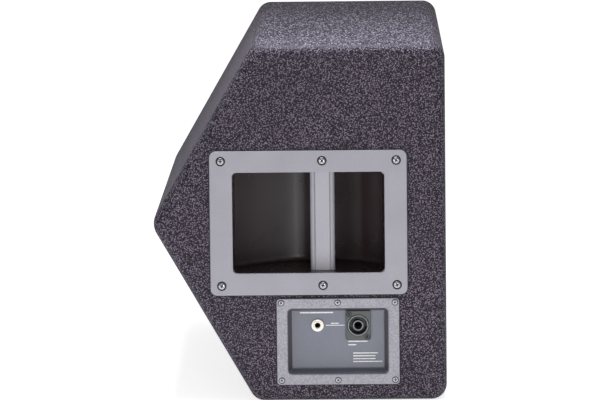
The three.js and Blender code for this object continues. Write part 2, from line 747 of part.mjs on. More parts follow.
function wooferLathe(profile, segments = WOOFER_SEGMENTS) {
  return latheAlongX(profile, segments, WOOFER_Y, AXIS_Z);
}

// Cast frame: mounting ring, open sloping wall, ledge for the spider, and a floor ring that carries the
// motor.
function addBasket() {
  const seat = BAFFLE_FRONT + GAP;
  const shell = wooferLathe([
    [36, MOTOR_SEAT_X],
    [66, MOTOR_SEAT_X],
    [138, -42],
    [138, seat],
    [BASKET_RADIUS, seat],
    [BASKET_RADIUS, seat + 4],
    [135.5, seat + 4],
    [135.5, -40.5],
    [74, -86.5],
    [64.5, -86.5],
    [64.5, -90],
    [60, -97],
    [36, -97],
    [36, MOTOR_SEAT_X],
  ]);
  const windows = Array.from({ length: 6 }, (_, i) => {
    const wedgeCut = box(-80, seat - 8, -26, 26, 60, 170);
    return wedgeCut.rotateX((i * Math.PI) / 3).translate(0, WOOFER_Y, AXIS_Z);
  });
  const terminal = box(-98, -88, WOOFER_Y - 6, WOOFER_Y + 6, AXIS_Z - 84, AXIS_Z - 66);
  add("woofer_basket", join(cut(shell, ...windows), terminal), "cast_frame");
}

// Top plate, ring magnet, back plate and vented pole as one bonded block, with the coil's gap left open.
function addMotor() {
  const face = MOTOR_SEAT_X - GAP;
  const motor = wooferLathe([
    [12, -138],
    [66, -138],
    [70, -134],
    [70, -128],
    [78, -128],
    [78, -108],
    [70, -108],
    [70, face],
    [34.4, face],
    [34.4, -128],
    [30.8, -128],
    [30.8, face],
    [12, face],
    [12, -138],
  ]);
  add("woofer_motor", motor, "motor_steel");
}

function addMovingParts() {
  const cone = wooferLathe([
    [33.4, -79],
    [34.8, -80.2],
    [78, -55],
    [124, -26.6],
    [127, -26.6],
    [127, -25.2],
    [123.6, -25.2],
    [77.2, -53.4],
    [33.4, -79],
  ]);
  add("woofer_cone", cone, "paper_cone");
  const cap = wooferLathe(
    [
      [49, -69.5],
      [50.4, -68.6],
      [44, -61],
      [32, -55],
      [16, -51.6],
      [0, -50.5],
      [0, -51.9],
      [15.6, -53],
      [31.2, -56.3],
      [42.8, -62.2],
      [49, -69.5],
    ],
    24,
  );
  add("dust_cap", cap, "paper_cone");
  const coil = wooferLathe([[32, -118], [33.2, -118], [33.2, -80.4], [32, -80.4], [32, -118]], 28);
  add("voice_coil", coil, "copper_winding");
}

// A half-roll round the cone, from its rim to the frame.
function addSurround() {
  const middle = 132.2;
  const lip = -24.9;
  const arc = (radius, from, to) =>
    Array.from({ length: 5 }, (_, i) => {
      const angle = from + ((to - from) * i) / 4;
      return [middle + radius * Math.cos(angle), lip + 0.1 + radius * 1.1 * Math.sin(angle)];
    });
  const roll = wooferLathe([
    ...[[126, lip], [middle - 4.4, lip]],
    ...arc(4.4, Math.PI, 0),
    ...[[141, lip], [141, lip + 1.1]],
    ...arc(5.4, 0, Math.PI),
    ...[[126, lip + 1.1], [126, lip]],
  ]);
  add("surround", roll, "treated_cloth");
}

// Corrugated disc that centres the coil on the frame's ledge.
function addSpider() {
  const count = 5;
  const wave = (offset) =>
    Array.from({ length: count }, (_, i) => {
      const radius = 40 + (i * 22) / (count - 1);
      return [radius, -86 + offset + (i % 2 ? 2 : 0)];
    });
  const spider = wooferLathe(
    [
      ...[[33.5, -86], ...wave(0)],
      ...[[71, -86.2], [71, -85.2]],
      ...wave(1).reverse(),
      ...[[33.5, -85], [33.5, -86]],
    ],
    24,
  );
  add("spider", spider, "treated_cloth");
}

// ---------------------------------------------------------------- horn and its driver

// A flare's ring at one X: a rounded rectangle at the mouth that becomes a circle at the throat.
function flareRing(share, grow) {
  const halfWidth = THREE.MathUtils.lerp(THROAT_RADIUS, HORN_MOUTH.width / 2, share ** 1.7) + grow;
  const halfHeight = THREE.MathUtils.lerp(THROAT_RADIUS, HORN_MOUTH.height / 2, share ** 1.25) + grow;
  const power = THREE.MathUtils.lerp(1, 0.32, Math.min(1, share * 1.6));
  const segments = 24;
  return Array.from({ length: segments }, (_, i) => {
    const angle = ((i + 0.5) * 2 * Math.PI) / segments;
    const across = Math.sign(Math.cos(angle)) * Math.abs(Math.cos(angle)) ** power;
    const up = Math.sign(Math.sin(angle)) * Math.abs(Math.sin(angle)) ** power;
    return { y: HORN_Y + halfWidth * across, z: AXIS_Z + halfHeight * up };
  });
}

function flare(grow, throatX, mouthX, steps) {
  const rings = Array.from({ length: steps + 1 }, (_, i) => {
    const share = i / steps;
    const x = THREE.MathUtils.lerp(throatX, mouthX, share);
    return flareRing(share, grow).map(({ y, z }) => new THREE.Vector3(x, y, z));
  });
  return loft(rings);
}

function addHorn() {
  const mouthX = BAFFLE_FRONT + 3.2;
  const wall = 2.6;
  const mouthFlange = box(
    BAFFLE_FRONT + GAP,
    mouthX,
    HORN_Y - HORN_FLANGE.width / 2,
    HORN_Y + HORN_FLANGE.width / 2,
    AXIS_Z - HORN_FLANGE.height / 2,
    AXIS_Z + HORN_FLANGE.height / 2,
  );
  const throatFlange = cylinderAlongX(32, THROAT_X, THROAT_X + 5, HORN_Y, AXIS_Z, 24);
  const outer = flare(wall, THROAT_X, mouthX, 6);
  const hollow = join(
    flare(0, THROAT_X, mouthX + 0.01, 6),
    cylinderAlongX(THROAT_RADIUS - 0.2, THROAT_X - 2, THROAT_X + 3, HORN_Y, AXIS_Z, 24),
  );
  add("horn", cut(join(outer, mouthFlange, throatFlange), hollow), "dark_plastic");
}

// Driver housing with a chamber open to the throat, and the small dome that moves in it.
function addCompressionDriver() {
  const face = THROAT_X - GAP;
  const housing = latheAlongX(
    [
      [0, -178],
      [40, -178],
      [45, -174],
      [45, -136],
      [34, face],
      [12.7, face],
      [12.7, -134],
      [27, -138],
      [27, -152],
      [0, -152],
      [0, -178],
    ],
    28,
    HORN_Y,
    AXIS_Z,
  );
  add("compression_driver", housing, "motor_steel");
  const dome = latheAlongX(
    [
      [22, -147],
      [24, -147],
      [24, -146],
      [22, -146],
      [19, -143.6],
      [11, -140.6],
      [0, -139.6],
      [0, -140.4],
      [10.6, -141.4],
      [18.4, -144.4],
      [22, -147],
    ],
    24,
    HORN_Y,
    AXIS_Z,
  );
  add("hf_diaphragm", dome, "diaphragm_metal");
}

function addPorts() {
  ["lower", "upper"].forEach((name, i) => {
    const outside = PORT_RADIUS + PORT_WALL;
    const lip = PORT_RADIUS + 8;
    const front = BAFFLE_FRONT + 3.2;
    const profile = [
      [PORT_RADIUS, PORT_END_X],
      [outside, PORT_END_X],
      [outside, BAFFLE_FRONT + GAP],
      [lip, BAFFLE_FRONT + GAP],
      [lip, front - 1],
      [lip - 1, front],
      [PORT_RADIUS + 3, front],
      [PORT_RADIUS, front - 6],
      [PORT_RADIUS, PORT_END_X],
    ];
    const z = AXIS_Z + (i ? PORT_OFFSET : -PORT_OFFSET);
    add(`port_tube_${name}`, latheAlongX(profile, 28, HORN_Y, z), "dark_plastic");
  });
}

// ---------------------------------------------------------------- crossover and wires

function addCrossover() {
  const { x0, x1, y0, y1, z, thickness } = BOARD_PLATE;
  const top = z + thickness;
  const posts = [x0 + 8, x1 - 8].flatMap((x) =>
    [y0 + 8, y1 - 8].map((y) => box(x - 3, x + 3, y - 3, y + 3, BOARD + GAP, z + 1)),
  );
  add("crossover_board", join(box(x0, x1, y0, y1, z, top), ...posts), "circuit_board");
  const coil = (outer, inner, height) =>
    lathe([[inner, 0], [outer, 0], [outer, height], [inner, height], [inner, 0]], 20).rotateX(Math.PI / 2);
  add("inductor_woofer", coil(21, 9, 24).translate(x0 + 32, y0 + 38, top + GAP), "copper_winding");
  add("inductor_horn", coil(14, 6, 16).translate(x0 + 26, y0 + 88, top + GAP), "copper_winding");
  const capacitor = (radius, length) => cylinderAlongY(radius, 0, length, 0, radius, 14);
  add("capacitor_large", capacitor(9, 40).translate(x1 - 16, y0 + 24, top + GAP), "capacitor_film");
  add("capacitor_small", capacitor(6.5, 30).translate(x1 - 16, y0 + 84, top + GAP), "capacitor_film");
}

function addWires() {
  const radius = 2.5;
  const tabsEnd = DISH_FLOOR_Y + 30 + GAP;
  const boardTop = BOARD_PLATE.z + 4;
  const before = BOARD_PLATE.y0 - GAP;
  const behind = BOARD_PLATE.y1 + GAP;
  const routes = {
    wire_input: [
      [CONNECTOR.x, tabsEnd, CONNECTOR.z],
      [CONNECTOR.x - 1, tabsEnd + 12, CONNECTOR.z - 1],
      [CONNECTOR.x - 4, 78, 62],
      [CONNECTOR.x - 10, 98, 38],
      [CONNECTOR.x - 12, before - 8, boardTop + 1],
      [CONNECTOR.x - 12, before, boardTop],
    ],
    wire_woofer: [
      [-150, behind, boardTop],
      [-150, behind + 10, boardTop + 1],
      [-142, behind + 24, 50],
      [-118, behind - 6, 84],
      [-97, WOOFER_Y + 42, 107],
      [-93, WOOFER_Y + 20, AXIS_Z - 80],
      [-93, WOOFER_Y + 6 + GAP, AXIS_Z - 80],
    ],
    wire_horn: [
      [-112, behind, boardTop],
      [-112, behind + 12, boardTop + 1],
      [-124, 304, 44],
      [-146, BRACE_Y - 6, 80],
      [-152, BRACE_Y + BRACE_THICKNESS + 6, 88],
      [-160, 396, 96],
      [-160, 430, 112],
      [-160, HORN_Y, 130],
      [-160, HORN_Y, AXIS_Z - 45 - GAP],
    ],
  };
  for (const [name, points] of Object.entries(routes)) {
    add(name, tube(points, radius, 22), "wire_jacket");
  }
}

// ---------------------------------------------------------------- pole socket

function addPoleCup() {
  const half = POLE.flange / 2;
  const flangeBox = { x0: POLE.x - half, x1: POLE.x + half, z0: AXIS_Z - half, z1: AXIS_Z + half, radius: 8 };
  const sinks = [
    ...panHolesAlongY(poleScrewPlaces, -PLATE_PROUD - 1, 1),
    ...panSinks(poleScrewPlaces, -PLATE_PROUD - 1, -PLATE_PROUD + PAN.sink),
  ];
  const outside = POLE.bore_radius + POLE.wall;
  const cup = cut(
    join(chamferedPlate(flangeBox), cylinderAlongY(outside, -1, POLE.depth, POLE.x, AXIS_Z, 24)),
    cylinderAlongY(POLE.bore_radius, -PLATE_PROUD - 1, POLE.depth - POLE.wall, POLE.x, AXIS_Z, 24),
    ...sinks,
  );
  add("pole_cup", toGeometry(toSolid(cup).scale([1, -1, 1]).translate([0, LENGTH, 0])), "dark_plastic");
}

// ---------------------------------------------------------------- assembly

addEndPanels();
addBoards();
addBaffle();
addBrace();
addGrille();
addHandle();
addInputPlate();
addConnector();
addJack();
addPlateScrews();
addBasket();
addMotor();
addMovingParts();
addSurround();
addSpider();
addHorn();
addCompressionDriver();
addPorts();
addCrossover();
addWires();
addPoleCup();

// The origin goes to the middle of the base. Rounding takes this much off the rear ridge.
const ridgeLoss = REAR_RIDGE_RADIUS * (1 / Math.cos(Math.PI / 6) - 1);
wedge.position.set(-(RIDGE_X + ridgeLoss) / 2, -LENGTH / 2, 0);

export default wedge;
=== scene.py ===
"""Looks of the stage monitor wedge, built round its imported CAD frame.

Lengths are in millimetres in the cabinet's own axes: X = 0 is the front plane and the cabinet lies at X < 0,
Y = 0 is the outer face of the input end, and Z = 0 is the underside. place() turns them into the row frame's
metres.
"""

import math
import random

import bmesh
import bpy
from mathutils import Matrix, Vector, noise
from mathutils.geometry import tessellate_polygon


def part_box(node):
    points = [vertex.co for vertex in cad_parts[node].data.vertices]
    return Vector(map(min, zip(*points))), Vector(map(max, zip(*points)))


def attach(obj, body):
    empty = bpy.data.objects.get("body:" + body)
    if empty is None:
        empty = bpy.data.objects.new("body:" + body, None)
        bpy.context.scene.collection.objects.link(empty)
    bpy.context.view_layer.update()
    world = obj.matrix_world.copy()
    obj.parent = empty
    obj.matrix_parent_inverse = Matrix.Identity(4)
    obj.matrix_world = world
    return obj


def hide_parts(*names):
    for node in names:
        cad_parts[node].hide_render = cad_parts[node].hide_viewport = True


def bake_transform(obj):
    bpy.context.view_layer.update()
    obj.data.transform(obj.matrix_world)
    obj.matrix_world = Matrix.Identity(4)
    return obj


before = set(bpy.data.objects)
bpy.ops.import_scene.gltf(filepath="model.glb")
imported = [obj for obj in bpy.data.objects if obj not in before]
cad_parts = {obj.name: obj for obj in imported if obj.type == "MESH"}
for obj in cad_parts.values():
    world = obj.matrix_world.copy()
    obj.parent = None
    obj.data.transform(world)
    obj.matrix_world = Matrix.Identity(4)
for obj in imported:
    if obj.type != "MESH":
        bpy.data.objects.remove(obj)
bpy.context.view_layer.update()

# ---------------------------------------------------------------- driving dimensions

MM = 0.001
HEIGHT = 375
LENGTH = 572
NARROW_DEPTH = 200
REAR_LEAN = math.radians(30)
BOARD = 18
LONG_EDGE_RADIUS = 16
REAR_RIDGE_RADIUS = 21
END_ROUNDOVER = 11
SEAM = 0.15  # half of the gap that the CAD leaves between boards, closed here
SUPPORT = 1.0  # a flat strip beside each rounding keeps the big faces flat in shading

PLATE_PROUD = 3
PLATE_CHAMFER = 1
PLATE_BACK = -0.3

HANDLE_FRAME = (-246, -40.4, 112.7, 264.1, 7)
HANDLE_WINDOW = (-222.4, -63.9, 135.7, 241.6, 4)
CUP_WALL = 3
CUP_FLANGE = 8
CUP_FLANGE_THICKNESS = 2.2
CUP_DRAFT = math.tan(math.radians(3))
CUP_DEEPEST_X = -126
CUP_DEPTH = 73
CUP_LEFT_RADIUS = 130.7
CUP_RIGHT_RADIUS = 73.5
CUP_FILLET = 4.5
BAR_X = -128.7
BAR_WIDTH = 25.4
BAR_FRONT = 15
BAR_THICKNESS = 22
BAR_RADIUS = 4.5
BAR_GROOVE_INSET = 4.2
BAR_GROOVE_WIDTH = 1.0
BAR_GROOVE_DEPTH = 1.8
HANDLE_SCREWS = [(x, z) for z in (122.8, 253.6) for x in (-234.2, -128.6, -51.4)]

INPUT_PLATE = (-177.4, -49.4, 18, 108.7, 3.7)
INPUT_WINDOW = (-166.3, -60.6, 28.5, 98.6, 5)
DISH_FLOOR_Y = 12.5
DISH_DRAFT = 4.2
DISH_WALL = 2.5
DISH_FILLET = 1.6
INPUT_SCREWS = [(x, z) for z in (22.6, 104.4) for x in (-172.6, -113.6, -53.8)]
CONNECTOR_X = -92.4
CONNECTOR_Z = 78.4
JACK_X = -134.9
JACK_Z = 78.6

PAN_HEAD = 3.6
PAN_HEIGHT = 2.1
PAN_CROSS = (2.5, 1.25, 1.5)  # reach, width and depth
PAN_SINK = 1
PAN_SINK_RADIUS = 5
PAN_BEARING_Y = -PLATE_PROUD + PAN_SINK - 0.3

AXIS_Z = HEIGHT / 2
GRILLE_FRONT = -3.2
GRILLE_SHEET = 1.4
GRILLE_CLEARANCE = 1.2
GRILLE_SCREW_INSET = 13
BAFFLE_FRONT = -30
FOAM_THICKNESS = 4

WOOFER_Y = 178
SURROUND_MIDDLE = 132.2
SURROUND_LIP = -24.9
SPIDER_BACK = -86

POLE_X = -130
POLE_BORE = 18
POLE_WALL = 3
POLE_DEPTH = 85
POLE_FLANGE = 92
POLE_SCREW_INSET = 11

# The cabinet's axes start at the front, input end and underside of the CAD's input end board.
end_low, end_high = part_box("end_panel_input")
ORIGIN = Vector((end_high.x, end_low.y, end_low.z))


def place(x, y, z):
    return ORIGIN + Vector((x, y, z)) * MM


# ---------------------------------------------------------------- camera, light and floor

camera_data = bpy.data.cameras.new("camera")
camera_data.lens = 276.58
camera_data.sensor_width = 36
camera = bpy.data.objects.new("camera", camera_data)
yaw = math.radians(-0.791)
pitch = math.radians(6.984)
roll = math.radians(-0.609)
forward = Vector((math.sin(yaw) * math.cos(pitch), math.cos(yaw) * math.cos(pitch), -math.sin(pitch)))
level_right = Vector((math.cos(yaw), -math.sin(yaw), 0))
level_up = level_right.cross(forward)
right = math.cos(roll) * level_right + math.sin(roll) * level_up
up = -math.sin(roll) * level_right + math.cos(roll) * level_up
turn = Matrix((right, up, -forward)).transposed().to_4x4()
camera.matrix_world = Matrix.Translation((0.0665, -5.0487, 0.7958)) @ turn
camera_data.clip_start = 0.1
camera_data.clip_end = 100
bpy.context.scene.collection.objects.link(camera)
bpy.context.scene.camera = camera

bpy.context.scene.view_settings.view_transform = "Standard"

world = bpy.data.worlds.new("studio")
world.use_nodes = True
world.node_tree.nodes["Background"].inputs["Color"].default_value = (0.97, 0.98, 1.0, 1)
world.node_tree.nodes["Background"].inputs["Strength"].default_value = 0.42
bpy.context.scene.world = world


def add_soft_light(name, location, target, size, power, color=(1.0, 1.0, 1.0)):
    data = bpy.data.lights.new(name, "AREA")
    data.shape = "RECTANGLE"
    data.size, data.size_y = size
    data.energy = power
    data.color = color
    light = bpy.data.objects.new(name, data)
    light.location = location
    aim = Vector(target) - Vector(location)
    light.rotation_mode = "QUATERNION"
    light.rotation_quaternion = aim.to_track_quat("-Z", "Y")
    light.visible_camera = False
    bpy.context.scene.collection.objects.link(light)


add_soft_light("over_near_end", (0.0, -0.25, 0.85), (0.0, -0.25, 0.3), (0.45, 0.25), 11, (0.93, 1.0, 1.03))
add_soft_light("front_right", (0.36, -1.95, 0.14), (0.0, -0.3, 0.2), (0.35, 0.26), 6.5)
add_soft_light("front_left", (-0.67, -1.95, 0.14), (0.0, -0.3, 0.2), (0.3, 0.26), 3.5)


# ---------------------------------------------------------------- materials


class Finish:
    """A Principled material with its noise, bump and colour nodes built by short calls."""

    def __init__(self, name, roughness, metallic=0.0, specular=0.5):
        self.material = bpy.data.materials.new(name)
        self.material.use_nodes = True
        self.tree = self.material.node_tree
        self.shader = self.tree.nodes["Principled BSDF"]
        self.set(self.shader, Roughness=roughness, Metallic=metallic, Specular_IOR_Level=specular)
        self.where = self.add("TexCoord").outputs["Object"]

    def set(self, node, **inputs):
        """Gives a node's inputs their values, or links them to the outputs given."""
        for name, value in inputs.items():
            socket = node.inputs[name.replace("_", " ")]
            if isinstance(value, bpy.types.NodeSocket):
                self.tree.links.new(value, socket)
            else:
                socket.default_value = value

    def add(self, kind, **inputs):
        node = self.tree.nodes.new("ShaderNode" + kind)
        self.set(node, **inputs)
        return node

    def noise(self, scale, detail=2.0, stretch=None):
        where = self.where
        if stretch:
            where = self.add("Mapping", Scale=stretch, Vector=where).outputs["Vector"]
        return self.add("TexNoise", Scale=scale, Detail=detail, Vector=where).outputs["Fac"]

    def cells(self, scale, feature="F1"):
        node = self.add("TexVoronoi", Scale=scale, Vector=self.where)
        node.feature = feature
        return node.outputs["Distance"]

    def facing_up(self):
        """One where the surface faces up, nought where it is upright."""
        normal = self.add("NewGeometry").outputs["Normal"]
        split = self.add("SeparateXYZ", Vector=normal)
        return self.remap(split.outputs["Z"], 0.0, 1.0, 0.6, 0.95)

    def ramp(self, factor, stops):
        node = self.add("ValToRGB", Fac=factor)
        elements = node.color_ramp.elements
        while len(elements) < len(stops):
            elements.new(1.0)
        for element, (position, color) in zip(elements, stops):
            element.position = position
            element.color = (*color, 1)
        return node.outputs["Color"]

    def blend(self, factor, first, second, mode="MIX"):
        node = self.add("Mix")
        node.data_type = "RGBA"
        node.blend_type = mode
        self.set(node, Factor=factor, A=first, B=second)
        return node.outputs["Result"]

    def remap(self, factor, low, high, start=0.0, end=1.0):
        node = self.add("MapRange", Value=factor, From_Min=start, From_Max=end, To_Min=low, To_Max=high)
        return node.outputs["Result"]

    def height(self, *parts):
        """The sum of (value, weight) pairs."""
        total = None
        for value, weight in parts:
            node = self.add("Math")
            node.operation = "MULTIPLY_ADD"
            self.tree.links.new(value, node.inputs[0])
            node.inputs[1].default_value = weight
            if total is None:
                node.inputs[2].default_value = 0.0
            else:
                self.tree.links.new(total, node.inputs[2])
            total = node.outputs[0]
        return total

    def color(self, output):
        self.set(self.shader, Base_Color=output)

    def roughness(self, output):
        self.set(self.shader, Roughness=output)

    def bump(self, height, distance, strength=1.0):
        node = self.add("Bump", Distance=distance * MM, Strength=strength, Height=height)
        self.set(self.shader, Normal=node.outputs["Normal"])


def grey(value, tint=(1.0, 1.0, 1.0)):
    return tuple(value * part for part in tint)


def coating_finish():
    """Coarse sprayed coating: rounded pebbles about 2 mm across in the bump, pale flecks on a near-black
    ground; on faces that look up the flecks are partly painted glints of grazing light on the pebbles.
    """
    finish = Finish("coarse_black_coating", 0.6, specular=0.25)
    pebbles = finish.cells(430, "SMOOTH_F1")
    spots = finish.height((finish.noise(880, 1.0), 0.6), (finish.cells(620), -0.45))
    side_grain = finish.remap(spots, 0.3, 0.7, -0.18, 0.26)
    top_grain_and_painted_glints = finish.noise(700, 1.0, (1.0, 0.3, 1.0))
    # On faces that look up the flecks follow a noise stretched along Y: partly the coating's own flecks,
    # partly painted glints of grazing light.
    grain = finish.blend(finish.facing_up(), side_grain, top_grain_and_painted_glints)
    coarse = finish.noise(110, 1.0)
    patches = finish.noise(7, 3.0)
    relief = finish.height((pebbles, -0.9), (grain, 0.9), (coarse, 0.5))
    tint = (1.0, 0.82, 1.08)
    finish.set(finish.shader, Specular_Tint=(1.0, 0.86, 1.06, 1))
    steps = ((0.43, 0.001), (0.51, 0.008), (0.57, 0.036), (0.65, 0.15))
    flecks_and_top_glints = finish.ramp(grain, [(position, grey(value, tint)) for position, value in steps])
    shade = finish.ramp(patches, [(0.3, grey(0.9)), (0.7, grey(1.08))])
    finish.color(finish.blend(1.0, flecks_and_top_glints, shade, "MULTIPLY"))
    finish.roughness(finish.remap(grain, 0.5, 0.78, 0.35, 0.65))
    finish.bump(relief, 0.9, 0.75)
    return finish.material


def moulded_finish(name, color, roughness, grain_scale, grain_depth, variation=0.06, specular=0.5):
    """Moulded plastic with a spark-eroded grain, slight mottling and faint handling marks."""
    finish = Finish(name, roughness, specular=specular)
    grain = finish.noise(grain_scale, 3.0)
    mottling = finish.noise(28, 4.0)
    marks = finish.noise(18, 2.0)
    low = tuple(part * (1 - variation) for part in color)
    high = tuple(part * (1 + variation) for part in color)
    base = finish.ramp(grain, [(0.32, low), (0.68, high)])
    shade = finish.ramp(mottling, [(0.3, grey(0.95)), (0.7, grey(1.04))])
    finish.color(finish.blend(1.0, base, shade, "MULTIPLY"))
    finish.roughness(finish.remap(marks, roughness - 0.04, roughness + 0.06, 0.1, 0.9))
    finish.bump(grain, grain_depth)
    return finish.material


def metal_finish(name, color, roughness, scale=900, depth=0.03, specular=0.5):
    """Plated or machined metal with a fine tooth and uneven polish."""
    finish = Finish(name, roughness, metallic=1.0, specular=specular)
    tooth = finish.noise(scale, 3.0)
    stain = finish.noise(60, 4.0)
    low = tuple(part * 0.82 for part in color)
    finish.color(finish.ramp(stain, [(0.3, low), (0.65, color)]))
    finish.roughness(finish.remap(tooth, roughness - 0.07, roughness + 0.12, 0.3, 0.7))
    finish.bump(tooth, depth)
    return finish.material


def plywood_finish():
    """Birch veneer with long grain and darker glue lines."""
    finish = Finish("birch_plywood", 0.75)
    grain = finish.noise(60, 5.0, (1.0, 12.0, 1.0))
    plies = finish.noise(11, 1.0)
    veneer = finish.ramp(grain, [(0.3, (0.36, 0.23, 0.12)), (0.7, (0.55, 0.39, 0.23))])
    shade = finish.ramp(plies, [(0.3, grey(0.85)), (0.7, grey(1.0))])
    finish.color(finish.blend(1.0, veneer, shade, "MULTIPLY"))
    finish.bump(grain, 0.2)
    return finish.material


def cloth_finish(name, color, ridges=0.0):
    """Pressed paper or resin-treated cloth."""
    finish = Finish(name, 0.9, specular=0.3)
    fibres = finish.noise(700, 4.0)
    blotches = finish.noise(35, 3.0)
    low = tuple(part * 0.7 for part in color)
    high = tuple(part * 1.3 for part in color)
    finish.color(finish.ramp(finish.height((fibres, 0.6), (blotches, 0.4)), [(0.35, low), (0.65, high)]))
    finish.bump(finish.height((fibres, 1.0), (blotches, ridges)), 0.25)
    return finish.material


def foam_finish():
    """Open-cell acoustic foam."""
    finish = Finish("acoustic_foam", 1.0, specular=0.1)
    pores = finish.cells(900)
    tone = finish.noise(20, 3.0)
    dark = finish.ramp(pores, [(0.1, grey(0.004)), (0.6, grey(0.024))])
    shade = finish.ramp(tone, [(0.3, grey(0.8)), (0.7, grey(1.1))])
    finish.color(finish.blend(1.0, dark, shade, "MULTIPLY"))
    finish.bump(pores, 0.5)
    return finish.material


def winding_finish():
    """Enamelled copper wire, wound in close turns."""
    finish = Finish("copper_winding", 0.3, metallic=1.0)
    wave = finish.add("TexWave", Scale=260, Distortion=0.4, Vector=finish.where)
    wave.bands_direction = "Z"
    turns = wave.outputs["Fac"]
    finish.color(finish.ramp(turns, [(0.1, (0.2, 0.06, 0.025)), (0.8, (0.72, 0.29, 0.13))]))
    finish.bump(turns, 0.3)
    return finish.material


def print_finish():
    """White screen-printing ink, slightly worn."""
    finish = Finish("white_print", 0.6)
    wear = finish.noise(500, 3.0)
    finish.color(finish.ramp(wear, [(0.3, grey(0.42)), (0.55, grey(0.62))]))
    finish.bump(wear, 0.02)
    return finish.material


# Painted sheen: the handle frame, grip and input frame are dark moulding whose flat fronts shine grey in
# frontal light. These light greys paint that sheen into their base colour, while the cup keeps the dark
# colour of the same moulding.
PAINTED_SHEEN_GREY = (0.23, 0.218, 0.248)
GRIP_PAINTED_SHEEN_GREY = (0.28, 0.267, 0.298)
COATING = coating_finish()
PAINTED_SHEEN_PLASTIC = moulded_finish("painted_sheen_grey_plastic", PAINTED_SHEEN_GREY, 0.5, 900, 0.05, 0.05)
GRIP_PAINTED_SHEEN_PLASTIC = moulded_finish("grip_painted_sheen_grey_plastic", GRIP_PAINTED_SHEEN_GREY, 0.42, 900, 0.04, 0.05)
TEXTURED_PAINTED_SHEEN_PLASTIC = moulded_finish("textured_painted_sheen_grey_plastic", PAINTED_SHEEN_GREY, 0.55, 520, 0.22, 0.22)
DISH_PLASTIC = moulded_finish("dish_grey_plastic", (0.105, 0.108, 0.138), 0.34, 700, 0.03, 0.05)
# Darker plastic for the dish's side and overhead walls: painted shade.
DISH_WALL_PAINTED_SHADE = moulded_finish("dish_wall_painted_shade_plastic", (0.062, 0.055, 0.066), 0.45, 700, 0.05, 0.05)
DARK_PLASTIC = moulded_finish("dark_cup_plastic", (0.018, 0.01, 0.011), 0.27, 650, 0.006, 0.1, 1.0)
HORN_PLASTIC = moulded_finish("black_moulding", (0.02, 0.02, 0.022), 0.45, 600, 0.08, 0.12)
CONNECTOR_PLASTIC = moulded_finish("connector_plastic", (0.03, 0.031, 0.032), 0.38, 900, 0.04, 0.1)
# Paler plastic for the crests of the connector rings: painted highlight.
CONNECTOR_PAINTED_HIGHLIGHT = moulded_finish("connector_painted_highlight_plastic", (0.22, 0.228, 0.23), 0.3, 900, 0.02, 0.05)
CREAM_PLASTIC = moulded_finish("cream_plastic", (0.8, 0.76, 0.67), 0.4, 800, 0.03, 0.04)
SCREW_STEEL = metal_finish("zinc_screw", (0.3, 0.3, 0.32), 0.3)
BLACK_SCREW = metal_finish("black_oxide_screw", (0.06, 0.06, 0.065), 0.4)
# Near-black metal for the insides of the cross recesses: painted shade.
RECESS_PAINTED_SHADE = metal_finish("recess_painted_shade", (0.015, 0.015, 0.016), 0.6)
CAST_FRAME = metal_finish("cast_frame", (0.05, 0.052, 0.058), 0.5, 500, 0.12)
MOTOR_STEEL = metal_finish("motor_steel", (0.32, 0.32, 0.34), 0.4)
DIAPHRAGM = metal_finish("diaphragm_titanium", (0.5, 0.5, 0.53), 0.28)
# Black rubber, used only to paint shade: the rings in the handle's screw sinks, the strips round the plates
# and the walls of the input screw wells.
RUBBER_PAINTED_SHADE = moulded_finish("black_rubber_painted_shade", (0.008, 0.008, 0.009), 0.75, 500, 0.05, 0.2)
GRILLE_PAINT = moulded_finish("grille_powder_coat", (0.018, 0.018, 0.02), 0.5, 1500, 0.06, 0.15)
PLYWOOD = plywood_finish()
PAPER = cloth_finish("pressed_paper_cone", (0.016, 0.0155, 0.015), 0.6)
TREATED_CLOTH = cloth_finish("treated_cloth", (0.035, 0.026, 0.02))
FOAM = foam_finish()
WINDING = winding_finish()
BOARD_GREEN = moulded_finish("circuit_board_green", (0.03, 0.09, 0.035), 0.4, 400, 0.03, 0.2)
CAPACITOR_FILM = moulded_finish("capacitor_film", (0.6, 0.38, 0.06), 0.35, 300, 0.03, 0.12)
WIRE_JACKET = moulded_finish("wire_jacket", (0.02, 0.02, 0.022), 0.5, 500, 0.08, 0.1)
PRINT = print_finish()


# ---------------------------------------------------------------- outlines


def inset_corners(corners, inset):
    """Corners given anticlockwise, moved inwards by the same distance from every side."""
    moved = []
    for i, corner in enumerate(corners):
        inward = (corner - corners[i - 1]).normalized()
        outward = (corners[(i + 1) % len(corners)] - corner).normalized()
        first = Vector((-inward.y, inward.x))
        second = Vector((-outward.y, outward.x))
        moved.append(corner + (first + second) * (inset / (1 + first.dot(second))))
    return moved


def round_corners(corners, radii, steps, support=0.0):
    """The corners drawn as arcs, with a point on the flat a little before and after each if asked."""
    outline = []
    for i, corner in enumerate(corners):
        inward = (corner - corners[i - 1]).normalized()
        outward = (corners[(i + 1) % len(corners)] - corner).normalized()
        angle = math.acos(max(-1.0, min(1.0, inward.dot(outward))))
        radius = radii[i]
        before = corner - inward * radius * math.tan(angle / 2)
        centre = before + Vector((-inward.y, inward.x)) * radius
        start = math.atan2(-inward.x, inward.y)
        arc = []
        for k in range(steps + 1):
            turned = start + angle * k / steps
            arc.append(centre + Vector((math.cos(turned), math.sin(turned))) * radius)
        if support:
            arc = [arc[0] - inward * support, *arc, arc[-1] + outward * support]
        outline.extend(arc)
    return outline


def rectangle(x0, x1, z0, z1):
    return [Vector((x0, z0)), Vector((x1, z0)), Vector((x1, z1)), Vector((x0, z1))]


def window(box, grow=0.0, radius=None, steps=8, support=0.0):
    """A rounded rectangle, grown on all sides."""
    x0, x1, z0, z1, own_radius = box
    corner = own_radius + grow if radius is None else radius
    return round_corners(inset_corners(rectangle(x0, x1, z0, z1), -grow), [corner] * 4, steps, support)


